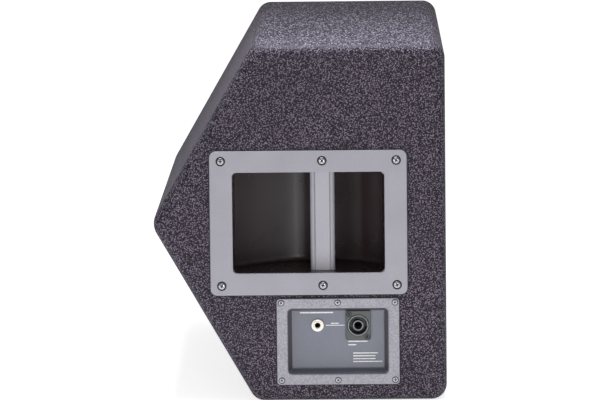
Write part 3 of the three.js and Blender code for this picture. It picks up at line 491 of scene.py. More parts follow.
RIDGE_X = -NARROW_DEPTH - HEIGHT / 2 * math.tan(REAR_LEAN)
SECTION = [
    Vector((0, 0)),
    Vector((0, HEIGHT)),
    Vector((-NARROW_DEPTH, HEIGHT)),
    Vector((RIDGE_X, HEIGHT / 2)),
    Vector((-NARROW_DEPTH, 0)),
]
SECTION_RADII = [LONG_EDGE_RADIUS] * 3 + [REAR_RIDGE_RADIUS, LONG_EDGE_RADIUS]


def section_outline(inset):
    radii = [radius - inset for radius in SECTION_RADII]
    return round_corners(inset_corners(SECTION, inset), radii, 10, SUPPORT)


def clip(outline, point, inwards):
    """The part of a convex outline on the inwards side of a line through point."""
    kept = []
    for i, here in enumerate(outline):
        before = outline[i - 1]
        here_side = (here - point).dot(inwards)
        before_side = (before - point).dot(inwards)
        if here_side * before_side < 0:
            kept.append(before.lerp(here, before_side / (before_side - here_side)))
        if here_side >= 0:
            kept.append(here)
    return kept


# ---------------------------------------------------------------- meshes


def new_object(name, mesh_data, material):
    obj = bpy.data.objects.new(name, mesh_data)
    bpy.context.scene.collection.objects.link(obj)
    if material is not None:
        mesh_data.materials.append(material)
    return obj


def mesh_from(points, faces):
    """A mesh from points in cabinet millimetres, with its normals facing out."""
    mesh = bpy.data.meshes.new("mesh")
    mesh.from_pydata([place(*point) for point in points], [], faces)
    tidy = bmesh.new()
    tidy.from_mesh(mesh)
    bmesh.ops.remove_doubles(tidy, verts=tidy.verts, dist=1e-7)
    bmesh.ops.recalc_face_normals(tidy, faces=tidy.faces)
    tidy.to_mesh(mesh)
    tidy.free()
    return mesh


def loft(rings, cap_first=True, cap_last=True):
    """Points and faces of a skin over closed rings of equal point count."""
    count = len(rings[0])
    points = [point for ring in rings for point in ring]
    faces = []
    for ring in range(len(rings) - 1):
        for i in range(count):
            a = ring * count + i
            b = ring * count + (i + 1) % count
            faces.append((a, b, b + count, a + count))
    if cap_first:
        faces.append(tuple(range(count)))
    if cap_last:
        faces.append(tuple(range(len(points) - count, len(points))))
    return points, faces


def layer_rings(layers):
    """(outline in X and Z, y) layers as rings of points."""
    return [[(p.x, y, p.y) for p in outline] for outline, y in layers]


def loft_mesh(layers):
    return mesh_from(*loft(layer_rings(layers)))


def prism(outline, y0, y1):
    return loft_mesh([(outline, y0), (outline, y1)])


def grid_faces(rows, columns, start=0):
    """Faces of an open sheet of points given row by row."""
    faces = []
    for row in range(rows - 1):
        for column in range(columns - 1):
            a = start + row * columns + column
            faces.append((a, a + 1, a + 1 + columns, a + columns))
    return faces


def lathe_points(profile, segments, closed=False):
    """Rings about +Y through (0, 0); profile holds [radius, y] pairs."""
    angles = [2 * math.pi * k / segments for k in range(segments)]
    rings = [[(radius * math.cos(a), y, radius * math.sin(a)) for a in angles] for radius, y in profile]
    if closed:
        rings.append(rings[0])
    return loft(rings, cap_first=not closed, cap_last=not closed)


def moved(points, x, z, y=0.0):
    return [(px + x, py + y, pz + z) for px, py, pz in points]


def joined(*parts):
    """Several (points, faces) pairs as one."""
    points, faces = [], []
    for part_points, part_faces in parts:
        start = len(points)
        points.extend(part_points)
        faces.extend(tuple(start + i for i in face) for face in part_faces)
    return points, faces


def lathe_mesh(profile, x, z, segments=48, closed=False):
    points, faces = lathe_points(profile, segments, closed)
    return mesh_from(moved(points, x, z), faces)


def bake_modifiers(obj):
    graph = bpy.context.evaluated_depsgraph_get()
    baked = bpy.data.meshes.new_from_object(obj.evaluated_get(graph))
    obj.modifiers.clear()
    obj.data = baked


def cut(obj, *tool_meshes):
    """Takes each tool's volume out of obj."""
    tools = [new_object("tool", mesh, None) for mesh in tool_meshes]
    for tool in tools:
        modifier = obj.modifiers.new("cut", "BOOLEAN")
        modifier.operation = "DIFFERENCE"
        modifier.solver = "EXACT"
        modifier.object = tool
    bake_modifiers(obj)
    for tool in tools:
        bpy.data.objects.remove(tool, do_unlink=True)


def finish_piece(obj, nodes=(), smooth=30, body="cabinet"):
    """Smooth shading with sharp edges, then the piece takes its place on a CAD body."""
    for polygon in obj.data.polygons:
        polygon.use_smooth = True
    obj.data.set_sharp_from_angle(angle=math.radians(smooth))
    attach(obj, body)
    if nodes:
        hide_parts(*nodes)
    return obj


def cylinder_mesh(radius, y0, y1, x, z, segments=32):
    return lathe_mesh([[radius, y0], [radius, y1]], x, z, segments)


# ---------------------------------------------------------------- cabinet


def end_board_layers(face_y, back_y):
    """Layers of an end board, from its face to its back, rounded over all round."""
    sign = 1 if back_y > face_y else -1
    layers = [(section_outline(END_ROUNDOVER + SUPPORT), face_y)]
    for step in range(11):
        angle = math.pi / 2 * step / 10
        inset = END_ROUNDOVER * (1 - math.sin(angle))
        layers.append((section_outline(inset), face_y + sign * END_ROUNDOVER * (1 - math.cos(angle))))
    layers.append((section_outline(0), face_y + sign * (END_ROUNDOVER + SUPPORT)))
    layers.append((section_outline(0), back_y))
    return layers


def build_end_panels():
    input_end = new_object("coated_end_input", loft_mesh(end_board_layers(0, BOARD + SEAM)), COATING)
    holes = (
        (HANDLE_WINDOW, CUP_WALL + 1.5, BOARD + 2),
        (HANDLE_WINDOW, CUP_FLANGE + 0.8, CUP_FLANGE_THICKNESS + 0.4),
        (INPUT_WINDOW, DISH_WALL + 0.5, BOARD + 2),
    )
    cut(input_end, *[prism(window(box, grow), -1, depth) for box, grow, depth in holes])
    finish_piece(input_end, ["end_panel_input"])
    far_layers = end_board_layers(LENGTH, LENGTH - BOARD - SEAM)
    pole_end = new_object("coated_end_pole", loft_mesh(far_layers), COATING)
    tube_hole = POLE_BORE + POLE_WALL + 1
    cut(pole_end, cylinder_mesh(tube_hole, LENGTH - BOARD - 2, LENGTH + 1, POLE_X, AXIS_Z, 64))
    finish_piece(pole_end, ["end_panel_pole"])


def board_between(name, outline, node):
    obj = new_object(name, prism(outline, BOARD + SEAM, LENGTH - BOARD - SEAM), COATING)
    finish_piece(obj, [node])


def build_boards():
    whole = section_outline(0)
    upper_corner, ridge, lower_corner = SECTION[2:]
    top_line = Vector((0, HEIGHT - BOARD - SEAM))
    bottom_line = Vector((0, BOARD + SEAM))
    above = Vector((0, 1))
    below = Vector((0, -1))
    board_between("coated_top", clip(whole, top_line, above), "top_panel")
    board_between("coated_bottom", clip(whole, bottom_line, below), "bottom_panel")
    middle = clip(clip(whole, top_line, below), bottom_line, above)

    def inner_line(start, end):
        along = (end - start).normalized()
        inwards = Vector((-along.y, along.x))
        if inwards.dot(Vector((-1, AXIS_Z)) - start) < 0:
            inwards = -inwards
        return start + inwards * (BOARD + SEAM), inwards

    upper_inner, upper_in = inner_line(upper_corner, ridge)
    lower_inner, lower_in = inner_line(ridge, lower_corner)
    board_between("coated_rear_upper", clip(middle, upper_inner, -upper_in), "rear_panel_upper")
    lower = clip(clip(middle, lower_inner, -lower_in), upper_inner, upper_in)
    board_between("coated_rear_lower", lower, "rear_panel_lower")


# ---------------------------------------------------------------- screws


def cross_cutter(head_y, reach, width, depth):
    """Two crossed wedges that narrow towards the bottom of a Phillips recess."""
    sections = ((head_y - 0.5, reach, width / 2), (head_y + depth, reach * 0.35, width * 0.3))
    parts = []
    for turned in (False, True):
        rings = []
        for y, half_long, half_wide in sections:
            corners = [(a * half_long, b * half_wide) for a, b in ((-1, -1), (1, -1), (1, 1), (-1, 1))]
            if turned:
                corners = [(-b, a) for a, b in corners]
            rings.append([(a, y, b) for a, b in corners])
        parts.append(loft(rings))
    return parts


def local_mesh(points, faces):
    """A mesh about its own origin, for pieces that are placed several times."""
    mesh = mesh_from(points, faces)
    mesh.transform(Matrix.Translation(-ORIGIN))
    return mesh


def screw_head_mesh(profile, reach, width, depth, material):
    head = new_object("screw_head", local_mesh(*lathe_points(profile, 40)), material)
    top_y = profile[0][1]
    cut(head, *[local_mesh(*part) for part in cross_cutter(top_y, reach, width, depth)])
    mesh = head.data
    bpy.data.objects.remove(head, do_unlink=True)
    # Painted shade: the faces inside the cross recess take the near-black material.
    mesh.materials.append(RECESS_PAINTED_SHADE)
    for polygon in mesh.polygons:
        polygon.use_smooth = True
        radius = math.hypot(polygon.center.x, polygon.center.z) / MM
        if radius < reach and polygon.center.y / MM > surface_at(profile, radius) + 0.1:
            polygon.material_index = 1
    mesh.set_sharp_from_angle(angle=math.radians(32))
    return mesh


def surface_at(profile, radius):
    """The height of a screw head's outside at this radius."""
    for (inner, inner_y), (outer, outer_y) in zip(profile, profile[1:]):
        if inner <= radius <= outer:
            return inner_y + (outer_y - inner_y) * (radius - inner) / (outer - inner)
    return profile[0][1]


def pan_profile():
    """Domed pan head with its bearing face at y = 0, then the shank."""
    dome = [[0.02, -PAN_HEIGHT]]
    for k in range(1, 9):
        angle = math.pi / 2 * k / 8
        dome.append([PAN_HEAD * math.sin(angle) ** 0.9, -PAN_HEIGHT * (0.42 + 0.58 * math.cos(angle) ** 0.8)])
    return [*dome, [PAN_HEAD, -0.15], [PAN_HEAD - 0.15, 0], [1.9, 0], [1.9, 14], [0.2, 15]]


def countersunk_profile():
    head = [[0.02, -0.4], [1.2, -0.36], [2.1, -0.2], [2.6, -0.02], [2.7, 0.08]]
    return [*head, [1.3, 1.5], [1.3, 12], [0.2, 13]]


def place_screw(name, mesh, spot, facing, spin, node=None):
    """facing is the direction that the head looks in."""
    obj = bpy.data.objects.new(name, mesh)
    bpy.context.scene.collection.objects.link(obj)
    turned = Vector((0, -1, 0)).rotation_difference(Vector(facing)).to_matrix().to_4x4()
    obj.matrix_world = Matrix.Translation(place(*spot)) @ turned @ Matrix.Rotation(spin, 4, "Y")
    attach(obj, "cabinet")
    if node:
        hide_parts(node)


def pole_screw_places():
    reach = POLE_FLANGE / 2 - POLE_SCREW_INSET
    return [(POLE_X + a * reach, AXIS_Z + b * reach) for b in (-1, 1) for a in (-1, 1)]


def build_painted_shade_rings():
    """Painted shade: a black ring in the bottom of each sink of the handle frame, round the screw head."""
    profile = [[2.3, -0.26], [4.8, -0.26], [4.95, -0.1], [4.95, 0], [2.3, 0]]
    painted_shade_ring_mesh = local_mesh(*lathe_points(profile, 40, True))
    painted_shade_ring_mesh.materials.append(RUBBER_PAINTED_SHADE)
    for i, (x, z) in enumerate(HANDLE_SCREWS, 1):
        ring = bpy.data.objects.new(f"handle_sink_painted_shade_{i}", painted_shade_ring_mesh)
        bpy.context.scene.collection.objects.link(ring)
        ring.location = place(x, -PLATE_PROUD + PAN_SINK - 0.02, z)
        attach(ring, "cabinet")


def build_screws():
    """All screws but the connector's, whose mesh is returned."""
    spins = random.Random(7)
    bright_pan = screw_head_mesh(pan_profile(), *PAN_CROSS, SCREW_STEEL)
    black_pan = screw_head_mesh(pan_profile(), *PAN_CROSS, BLACK_SCREW)
    small = screw_head_mesh(countersunk_profile(), 2.1, 1.0, 1.0, SCREW_STEEL)
    small_black = screw_head_mesh(countersunk_profile(), 1.75, 0.8, 0.9, BLACK_SCREW)
    build_painted_shade_rings()
    near = (0, -1, 0)
    far_y = LENGTH - PAN_BEARING_Y
    on_handle = [(x, PAN_BEARING_Y, z) for x, z in HANDLE_SCREWS]
    on_plate = [(x, -PLATE_PROUD, z) for x, z in INPUT_SCREWS]
    on_socket = [(x, far_y, z) for x, z in pole_screw_places()]
    on_grille = [(GRILLE_FRONT + 0.3, y, z) for y, z in grille_screw_places()]
    for group, spots, mesh, facing, slot in (
        ("handle", on_handle, bright_pan, near, "screw_steel"),
        ("input", on_plate, small, near, "screw_steel"),
        ("pole", on_socket, black_pan, (0, 1, 0), "black_screw"),
        ("grille", on_grille, black_pan, (1, 0, 0), "black_screw"),
    ):
        for i, spot in enumerate(spots, 1):
            spin = spins.uniform(0, math.pi / 2)
            place_screw(f"{group}_fixing_{i}", mesh, spot, facing, spin, f"{group}_screw_{i}")
    return small_black


# ---------------------------------------------------------------- handle


def quarter_turn(steps, size):
    """(size left, size gained) pairs round a quarter of a circle."""
    angles = [math.pi / 2 * step / steps for step in range(steps + 1)]
    return [(size * (1 - math.sin(angle)), size * (1 - math.cos(angle))) for angle in angles]


def plate_layers(box, y_front, y_back, chamfer=PLATE_CHAMFER):
    """A flat plate whose front edge is softly rounded."""
    layers = [(window(box, -chamfer - SUPPORT, max(box[4] - chamfer - SUPPORT, 1)), y_front)]
    layers += [(window(box, -inset), y_front + rise) for inset, rise in quarter_turn(4, chamfer)]
    return [*layers, (window(box), y_front + chamfer + 0.4), (window(box), y_back)]


def softened_window_cutter(box, y_front, y_back, ease=0.7):
    """A cutter that leaves the window's front edge rounded."""
    layers = [(window(box, ease * 3), y_front - ease * 2), (window(box, ease), y_front - 0.01)]
    layers += [(window(box, grow), y_front + rise) for grow, rise in quarter_turn(4, ease)[1:]]
    return loft_mesh([*layers, (window(box), y_back)])


def screw_sinks(places, y_front, direction=1):
    """A round sink and a clearance hole at each place."""
    sinks = []
    for x, z in places:
        for radius, depth, segments in ((PAN_SINK_RADIUS, PAN_SINK, 40), (2.2, 6, 24)):
            floor = y_front + direction * depth
            sinks.append(cylinder_mesh(radius, y_front - direction, floor, x, z, segments))
    return sinks


def build_handle_frame():
    plate = loft_mesh(plate_layers(HANDLE_FRAME, -PLATE_PROUD, PLATE_BACK))
    # Painted sheen: the frame's light grey stands in for the shine of dark moulding.
    obj = new_object("handle_surround", plate, PAINTED_SHEEN_PLASTIC)
    sinks = screw_sinks(HANDLE_SCREWS, -PLATE_PROUD)
    cut(obj, softened_window_cutter(HANDLE_WINDOW, -PLATE_PROUD, 1), *sinks)
    finish_piece(obj, ["handle_frame"])


def build_painted_shadow_gaskets():
    """Black rubber strips under the handle frame and the input plate, standing out round each as a dark line:
    painted shadow in the gap round the plates.
    """
    for name, box, hole in (
        ("handle_gasket_painted_shadow", HANDLE_FRAME, HANDLE_WINDOW),
        ("input_gasket_painted_shadow", INPUT_PLATE, INPUT_WINDOW),
    ):
        sheet = [(window(box, 0.8), -0.75), (window(box, 0.9), -0.6), (window(box, 0.9), 0.05)]
        painted_shadow_gasket = new_object(name, loft_mesh(sheet), RUBBER_PAINTED_SHADE)
        cut(painted_shadow_gasket, prism(window(hole, 9), -2, 2), prism(window(box, 0.05), -2, PLATE_BACK + 0.02))
        finish_piece(painted_shadow_gasket)


def cup_plan(inset, stations=40, side_steps=8):
    """The cup's wall seen from above, from the opening's left edge round the back to its right edge."""
    x0, x1 = HANDLE_WINDOW[0] + inset, HANDLE_WINDOW[1] - inset

    def meeting(radius, start_x, sign):
        """Where the drafted side wall meets the arc: x, y, angle, and the arc's centre and radius."""
        reach = radius - inset
        centre_y = CUP_DEPTH - radius
        y = 30.0
        for _ in range(30):
            x = start_x + sign * CUP_DRAFT * y
            y = centre_y + math.sqrt(max(reach**2 - (x - CUP_DEEPEST_X) ** 2, 0.0))
        return x, y, math.acos((x - CUP_DEEPEST_X) / reach), centre_y, reach

    left_x, left_y, left_angle, *left_arc = meeting(CUP_LEFT_RADIUS, x0, 1)
    right_x, right_y, right_angle, *right_arc = meeting(CUP_RIGHT_RADIUS, x1, -1)
    shares = [k / side_steps for k in range(side_steps + 1)]
    plan = [(x0 + (left_x - x0) * share, left_y * share) for share in shares[:-1]]
    back = math.pi / 2
    for start, stop, (centre_y, reach) in ((left_angle, back, left_arc), (back, right_angle, right_arc)):
        for k in range(stations):
            angle = start + (stop - start) * k / stations
            plan.append((CUP_DEEPEST_X + reach * math.cos(angle), centre_y + reach * math.sin(angle)))
    return plan + [(right_x + (x1 - right_x) * share, right_y * (1 - share)) for share in shares]


def build_cup():
    """The dark recess: floor and ceiling, filleted into one curved back wall."""
    z0, z1 = HANDLE_WINDOW[2], HANDLE_WINDOW[3]
    flat = cup_plan(CUP_FILLET)
    fillet = []
    for inset, rise in quarter_turn(6, CUP_FILLET):
        fillet.append([(x, y, CUP_DRAFT * y + rise) for x, y in cup_plan(inset)])
    lines = [[(x, 0.0, z0) for x, _ in flat]]
    lines += [[(x, y, z0 + rise) for x, y, rise in line] for line in fillet]
    for share in (0.02, 0.5, 0.98):
        lines.append([(x, y, z0 + rise + (z1 - z0 - 2 * rise) * share) for x, y, rise in fillet[-1]])
    lines += [[(x, y, z1 - rise) for x, y, rise in line] for line in reversed(fillet)]
    lines.append([(x, 0.0, z1) for x, _ in flat])
    points = [point for line in lines for point in line]
    faces = grid_faces(len(lines), len(flat))
    mesh = mesh_from(points, faces)
    obj = new_object("handle_recess", mesh, DARK_PLASTIC)
    back = max(mesh.polygons, key=lambda polygon: polygon.center.y)
    facing_out = back.normal.y > 0
    thicken = obj.modifiers.new("wall", "SOLIDIFY")
    thicken.thickness = (CUP_WALL - 0.4) * MM
    thicken.offset = 1.0 if facing_out else -1.0
    bake_modifiers(obj)
    flange = prism(window(HANDLE_WINDOW, CUP_FLANGE), 0.0, CUP_FLANGE_THICKNESS)
    rim = new_object("handle_recess_flange", flange, DARK_PLASTIC)
    cut(rim, prism(window(HANDLE_WINDOW, 0.0, 6), -1, 3))
    finish_piece(rim)
    finish_piece(obj, ["handle_cup"])


def build_grip():
    """The upright grip with two fine grooves down its face."""
    x0, x1 = BAR_X - BAR_WIDTH / 2, BAR_X + BAR_WIDTH / 2
    section = rectangle(x0, x1, BAR_FRONT, BAR_FRONT + BAR_THICKNESS)
    outline = round_corners(section, [BAR_RADIUS] * 4, 8, 0.5)
    ends = (HANDLE_WINDOW[2] + 0.9, HANDLE_WINDOW[3] - 0.9)
    rings = [[(p.x, p.y, z) for p in outline] for z in ends]
    # Painted sheen: the grip's light grey stands in for the shine of dark moulding.
    obj = new_object("handle_grip", mesh_from(*loft(rings)), GRIP_PAINTED_SHEEN_PLASTIC)
    tools = []
    for x in (x0 + BAR_GROOVE_INSET, x1 - BAR_GROOVE_INSET - BAR_GROOVE_WIDTH):
        mouth, bottom = BAR_FRONT - 1, BAR_FRONT + BAR_GROOVE_DEPTH
        end_x = x + BAR_GROOVE_WIDTH
        groove = [(x - 0.25, mouth), (end_x + 0.25, mouth), (end_x, bottom), (x, bottom)]
        tools.append(mesh_from(*loft([[(a, b, z) for a, b in groove] for z in (100, 300)])))
    cut(obj, *tools)
    finish_piece(obj, ["handle_bar"])


# ---------------------------------------------------------------- input plate


def build_input_surround():
    """The textured frame, with a well round each small screw whose walls are black: painted shade."""
    plate = loft_mesh(plate_layers(INPUT_PLATE, -PLATE_PROUD, PLATE_BACK))
    # Painted sheen: the frame's light grey stands in for the shine of dark moulding.
    obj = new_object("input_surround", plate, TEXTURED_PAINTED_SHEEN_PLASTIC)
    well = [[3.9, -PLATE_PROUD - 0.5], [3.4, -PLATE_PROUD], [1.6, -PLATE_PROUD + 1.9], [1.6, 2]]
    wells = [lathe_mesh(well, x, z, 32) for x, z in INPUT_SCREWS]
    cut(obj, softened_window_cutter(INPUT_WINDOW, -PLATE_PROUD, 1, 0.8), *wells)
    # Painted shade: the walls of each screw well take the black material.
    obj.data.materials.append(RUBBER_PAINTED_SHADE)
    centres = [place(x, -PLATE_PROUD, z) for x, z in INPUT_SCREWS]
    for polygon in obj.data.polygons:
        nearest = min((polygon.center - centre).length for centre in centres) / MM
        if nearest < 3.5 and abs(polygon.normal.y) < 0.95:
            polygon.material_index = 1
    finish_piece(obj)


def build_dish():
    """The smooth drafted dish, filleted where its walls meet the floor."""
    slope = DISH_DRAFT / (DISH_FLOOR_Y + PLATE_PROUD)

    def at(y, extra=0.0):
        grow = -slope * (y + PLATE_PROUD) + extra
        return window(INPUT_WINDOW, grow, max(INPUT_WINDOW[4] + grow, 0.8))

    rim_y = -1.6
    back_y = DISH_FLOOR_Y + DISH_WALL
    fillet_y = DISH_FLOOR_Y - DISH_FILLET - 0.6
    inside = [(at(y), y) for y in (rim_y, 0, fillet_y)]
    for above, inset in quarter_turn(6, DISH_FILLET):
        y = DISH_FLOOR_Y - above
        inside.append((at(y, -inset), y))
    inside.append((at(DISH_FLOOR_Y, -DISH_FILLET - 0.6), DISH_FLOOR_Y))
    outside = [(at(rim_y, 1.9), rim_y), (at(0, DISH_WALL), 0.0), (at(DISH_FLOOR_Y, DISH_WALL), back_y)]
    dish = new_object("input_recess_shell", loft_mesh([*reversed(inside), *outside]), DISH_PLASTIC)
    cut(
        dish,
        cylinder_mesh(12.2, 5, back_y + 2, CONNECTOR_X, CONNECTOR_Z, 48),
        cylinder_mesh(4.9, 5, back_y + 2, JACK_X, JACK_Z, 40),
    )
    # Painted shade: the dish's side and overhead walls take a darker material than the up-facing floor and
    # bottom wall.
    dish.data.materials.append(DISH_WALL_PAINTED_SHADE)
    for polygon in dish.data.polygons:
        if abs(polygon.normal.y) < 0.75 and polygon.normal.z < 0.4:
            polygon.material_index = 1
    finish_piece(dish, ["input_dish"])


def printed_bar(x0, x1, z0, z1):
    """A thin printed mark on the dish's floor."""
    y = DISH_FLOOR_Y - 0.06
    outline = round_corners(rectangle(x0, x1, z0, z1), [min(x1 - x0, z1 - z0) * 0.45] * 4, 3)
    return loft(layer_rings([(outline, y), (outline, y + 0.05)]))


def build_printing():
    """Plain rules only: two over the jack, a pair from the jack to the connector, and groups below it."""
    rules = [
        (-158.5, -113.0, 94.6, 95.9),
        (-153.5, -118.5, 91.2, 92.5),
        (-126.5, -106.5, 78.0, 78.7),
        (-121.0, -112.5, 79.9, 80.9),
        (-103.0, -82.5, 60.6, 61.7),
        (-103.0, -94.5, 57.0, 58.1),
        (-98.0, -72.0, 48.2, 49.3),
        (-98.0, -74.5, 45.2, 46.3),
        (-98.0, -74.5, 42.2, 43.3),
        (-98.0, -67.5, 39.2, 40.3),
    ]
    mesh = mesh_from(*joined(*[printed_bar(*rule) for rule in rules]))
    finish_piece(new_object("input_printed_rules", mesh, PRINT))


def painted_highlight_band(obj, inner, outer, back_y):
    """Painted highlight: a paler band of material on the crest of a connector ring."""
    obj.data.materials.append(CONNECTOR_PAINTED_HIGHLIGHT)
    centre = place(CONNECTOR_X, 0, CONNECTOR_Z)
    for polygon in obj.data.polygons:
        away = (polygon.center - centre) / MM
        if inner < math.hypot(away.x, away.z) < outer and away.y < back_y:
            polygon.material_index = 1


def build_connector(screw):
    """Four pole twist-lock connector: flange, proud rim, ring-shaped socket round a hollow core."""
    back = DISH_FLOOR_Y - 0.3
    front = back - 2.8
    rim = front - 1.2
    centre = (CONNECTOR_X, CONNECTOR_Z)
    box = (CONNECTOR_X - 13, CONNECTOR_X + 13, CONNECTOR_Z - 15.5, CONNECTOR_Z + 15.5, 2)
    plate = loft_mesh(plate_layers(box, front, back, 0.5))
    flange = new_object("speaker_socket_flange", plate, CONNECTOR_PLASTIC)
    spots = [(CONNECTOR_X + side * 9.5, CONNECTOR_Z - side * 12) for side in (-1, 1)]
    well = [[3.6, front - 0.6], [3.0, front], [1.7, front + 1.6], [1.7, back + 1]]
    bore = cylinder_mesh(11.6, front - 2, back + 2, *centre, 64)
    cut(flange, bore, *[lathe_mesh(well, *spot, 32) for spot in spots])
    finish_piece(flange, ["speaker_connector"])
    ring_profile = [
        [8.5, rim + 17], [8.5, rim + 2.6], [9.7, rim + 0.2], [9.9, rim], [10.5, rim], [10.7, rim + 0.35],
        [11.6, front + 0.1], [11.6, back + 21], [8.6, back + 21],
    ]
    ring_mesh = lathe_mesh(ring_profile, *centre, 64, closed=True)
    ring = new_object("speaker_socket_rim", ring_mesh, CONNECTOR_PLASTIC)
    keyways = []
    for x in (CONNECTOR_X - 8.7, CONNECTOR_X + 8.7):
        slot_box = (x - 0.9, x + 0.9, CONNECTOR_Z - 1.6, CONNECTOR_Z + 1.6, 0.3)
        keyways.append(prism(window(slot_box, steps=2), rim - 1, rim + 6))
    cut(ring, *keyways)
    painted_highlight_band(ring, 9.8, 10.75, front)
    finish_piece(ring)
    core_profile = [
        [3.1, rim + 12], [3.6, rim + 3.2], [4.4, rim + 1.0], [4.6, rim + 0.8], [5.1, rim + 0.8],
        [5.3, rim + 1.1], [5.2, rim + 15.6], [8.4, rim + 15.6], [8.4, rim + 17], [3.1, rim + 17],
    ]
    core_mesh = lathe_mesh(core_profile, *centre, 48, closed=True)
    core = new_object("speaker_socket_core", core_mesh, CONNECTOR_PLASTIC)
    painted_highlight_band(core, 4.4, 5.25, front)
    finish_piece(core)
    for i, (x, z) in enumerate(spots, 1):
        spot = (x, front + 0.5, z)
        place_screw(f"speaker_socket_screw_{i}", screw, spot, (0, -1, 0), 0.4 + 0.7 * i)


def build_jack():
    """Notched round nut, threaded bush and square body of the 6.35 mm phone jack."""
    back = DISH_FLOOR_Y - 0.3
    front = back - 2.4
    nut_profile = [
        [4.7, front + 0.3], [5.0, front], [5.8, front], [6.2, front + 0.2], [6.4, front + 0.7],
        [6.4, back], [4.7, back],
    ]
    nut_mesh = lathe_mesh(nut_profile, JACK_X, JACK_Z, 64, closed=True)
    nut = new_object("phone_socket_nut", nut_mesh, CREAM_PLASTIC)
    notches = []
    for k in range(4):
        angle = math.pi / 4 + math.pi / 2 * k
        centre = (JACK_X + 6.5 * math.cos(angle), JACK_Z + 6.5 * math.sin(angle))
        notches.append(cylinder_mesh(0.55, front - 1, front + 1.2, *centre, 16))
    cut(nut, *notches)
    finish_piece(nut, ["jack_nut"])
    lip = front - 0.6
    body_front = DISH_FLOOR_Y + DISH_WALL + 0.3
    flare = [[3.0, lip + 0.9], [3.5, lip], [4.3, lip], [4.6, lip + 0.3]]
    bush_profile = [*flare, [4.6, body_front], [3.0, body_front]]
    bush_mesh = lathe_mesh(bush_profile, JACK_X, JACK_Z, 64, closed=True)
    bush = new_object("phone_socket_bush", bush_mesh, CREAM_PLASTIC)
    finish_piece(bush)
    section = window((JACK_X - 8, JACK_X + 8, JACK_Z - 8, JACK_Z + 8, 1), steps=3)
    body = new_object("phone_socket_body", prism(section, body_front, body_front + 24), CONNECTOR_PLASTIC)
    cut(body, cylinder_mesh(3.0, body_front - 1, body_front + 20, JACK_X, JACK_Z, 40))
    finish_piece(body, ["phone_jack"])


# ---------------------------------------------------------------- grille

GRILLE = (
    BOARD + GRILLE_CLEARANCE,
    LENGTH - BOARD - GRILLE_CLEARANCE,
    BOARD + GRILLE_CLEARANCE,
    HEIGHT - BOARD - GRILLE_CLEARANCE,
)


def grille_screw_places():
    ys = (GRILLE[0] + GRILLE_SCREW_INSET, LENGTH / 2, GRILLE[1] - GRILLE_SCREW_INSET)
    zs = (GRILLE[2] + GRILLE_SCREW_INSET, GRILLE[3] - GRILLE_SCREW_INSET)
    return [(y, z) for z in zs for y in ys]


def build_grille():
    """Steel sheet with hexagonal holes, a plain border, folded edges, and blank spots round its screws."""
    pitch = 6.4
    hole_share = 0.8
    border = 9
    y0, y1, z0, z1 = GRILLE
    fold = 1.2
    corner = pitch / math.sqrt(3)
    front = GRILLE_FRONT
    back = GRILLE_FRONT - GRILLE_SHEET
    columns = int((y1 - y0 - 2 * border) / (1.5 * corner)) - 1
    rows = int((z1 - z0 - 2 * border) / pitch) - 1
    first_y = (y0 + y1) / 2 - (columns - 1) * 1.5 * corner / 2
    first_z = (z0 + z1) / 2 - (rows - 1) * pitch / 2 - pitch / 4
    screws = grille_screw_places()
    points, index, faces = [], {}, []

    def vertex(x, y, z):
        key = (round(x, 3), round(y, 2), round(z, 2))
        if key not in index:
            index[key] = len(points)
            points.append((x, y, z))
        return index[key]

    def hexagon(y, z, reach, x):
        turns = [math.pi / 3 * k for k in range(6)]
        return [vertex(x, y + reach * math.cos(a), z + reach * math.sin(a)) for a in turns]

    following = {}
    for column in range(columns):
        for row in range(rows):
            y = first_y + column * 1.5 * corner
            z = first_z + row * pitch + (pitch / 2 if column % 2 else 0)
            outer = hexagon(y, z, corner, front)
            for k in range(6):
                a, b = outer[k], outer[(k + 1) % 6]
                if following.get(b) == a:
                    del following[b]
                else:
                    following.setdefault(a, b)
            if any(math.hypot(y - sy, z - sz) < 8.5 for sy, sz in screws):
                faces.append(tuple(outer))
                continue
            inner = hexagon(y, z, corner * hole_share, front)
            deep = hexagon(y, z, corner * hole_share, back)
            for k in range(6):
                n = (k + 1) % 6
                faces.append((outer[k], outer[n], inner[n], inner[k]))
                faces.append((inner[k], inner[n], deep[n], deep[k]))
    start = next(iter(following))
    loop = [start]
    while following[loop[-1]] != start:
        loop.append(following[loop[-1]])

    def folded(grow, x):
        """The sheet's rectangle at one stage of its folded edge."""
        ys = (y0 + fold - grow, y1 - fold + grow)
        zs = (z0 + fold - grow, z1 - fold + grow)
        return [vertex(x, ys[a], zs[b]) for a, b in ((0, 0), (1, 0), (1, 1), (0, 1))]

    rim = folded(0, front)
    flat = [[Vector((points[i][1], points[i][2], 0)) for i in ring] for ring in (rim, loop)]
    order = [*rim, *loop]
    faces.extend(tuple(order[i] for i in triangle) for triangle in tessellate_polygon(flat))
    bend = [(fold * 0.3, front - fold * 0.1), (fold * 0.8, front - fold * 0.5), (fold, front - fold)]
    previous = rim
    for grow, x in (*bend, (fold, BAFFLE_FRONT + 0.3)):
        ring = folded(grow, x)
        for k in range(4):
            n = (k + 1) % 4
            faces.append((previous[k], previous[n], ring[n], ring[k]))
        previous = ring
    mesh = bpy.data.meshes.new("perforated_sheet")
    mesh.from_pydata([place(*point) for point in points], [], faces)
    mesh.update()
    obj = new_object("perforated_grille", mesh, GRILLE_PAINT)
    finish_piece(obj, ["grille_sheet"])


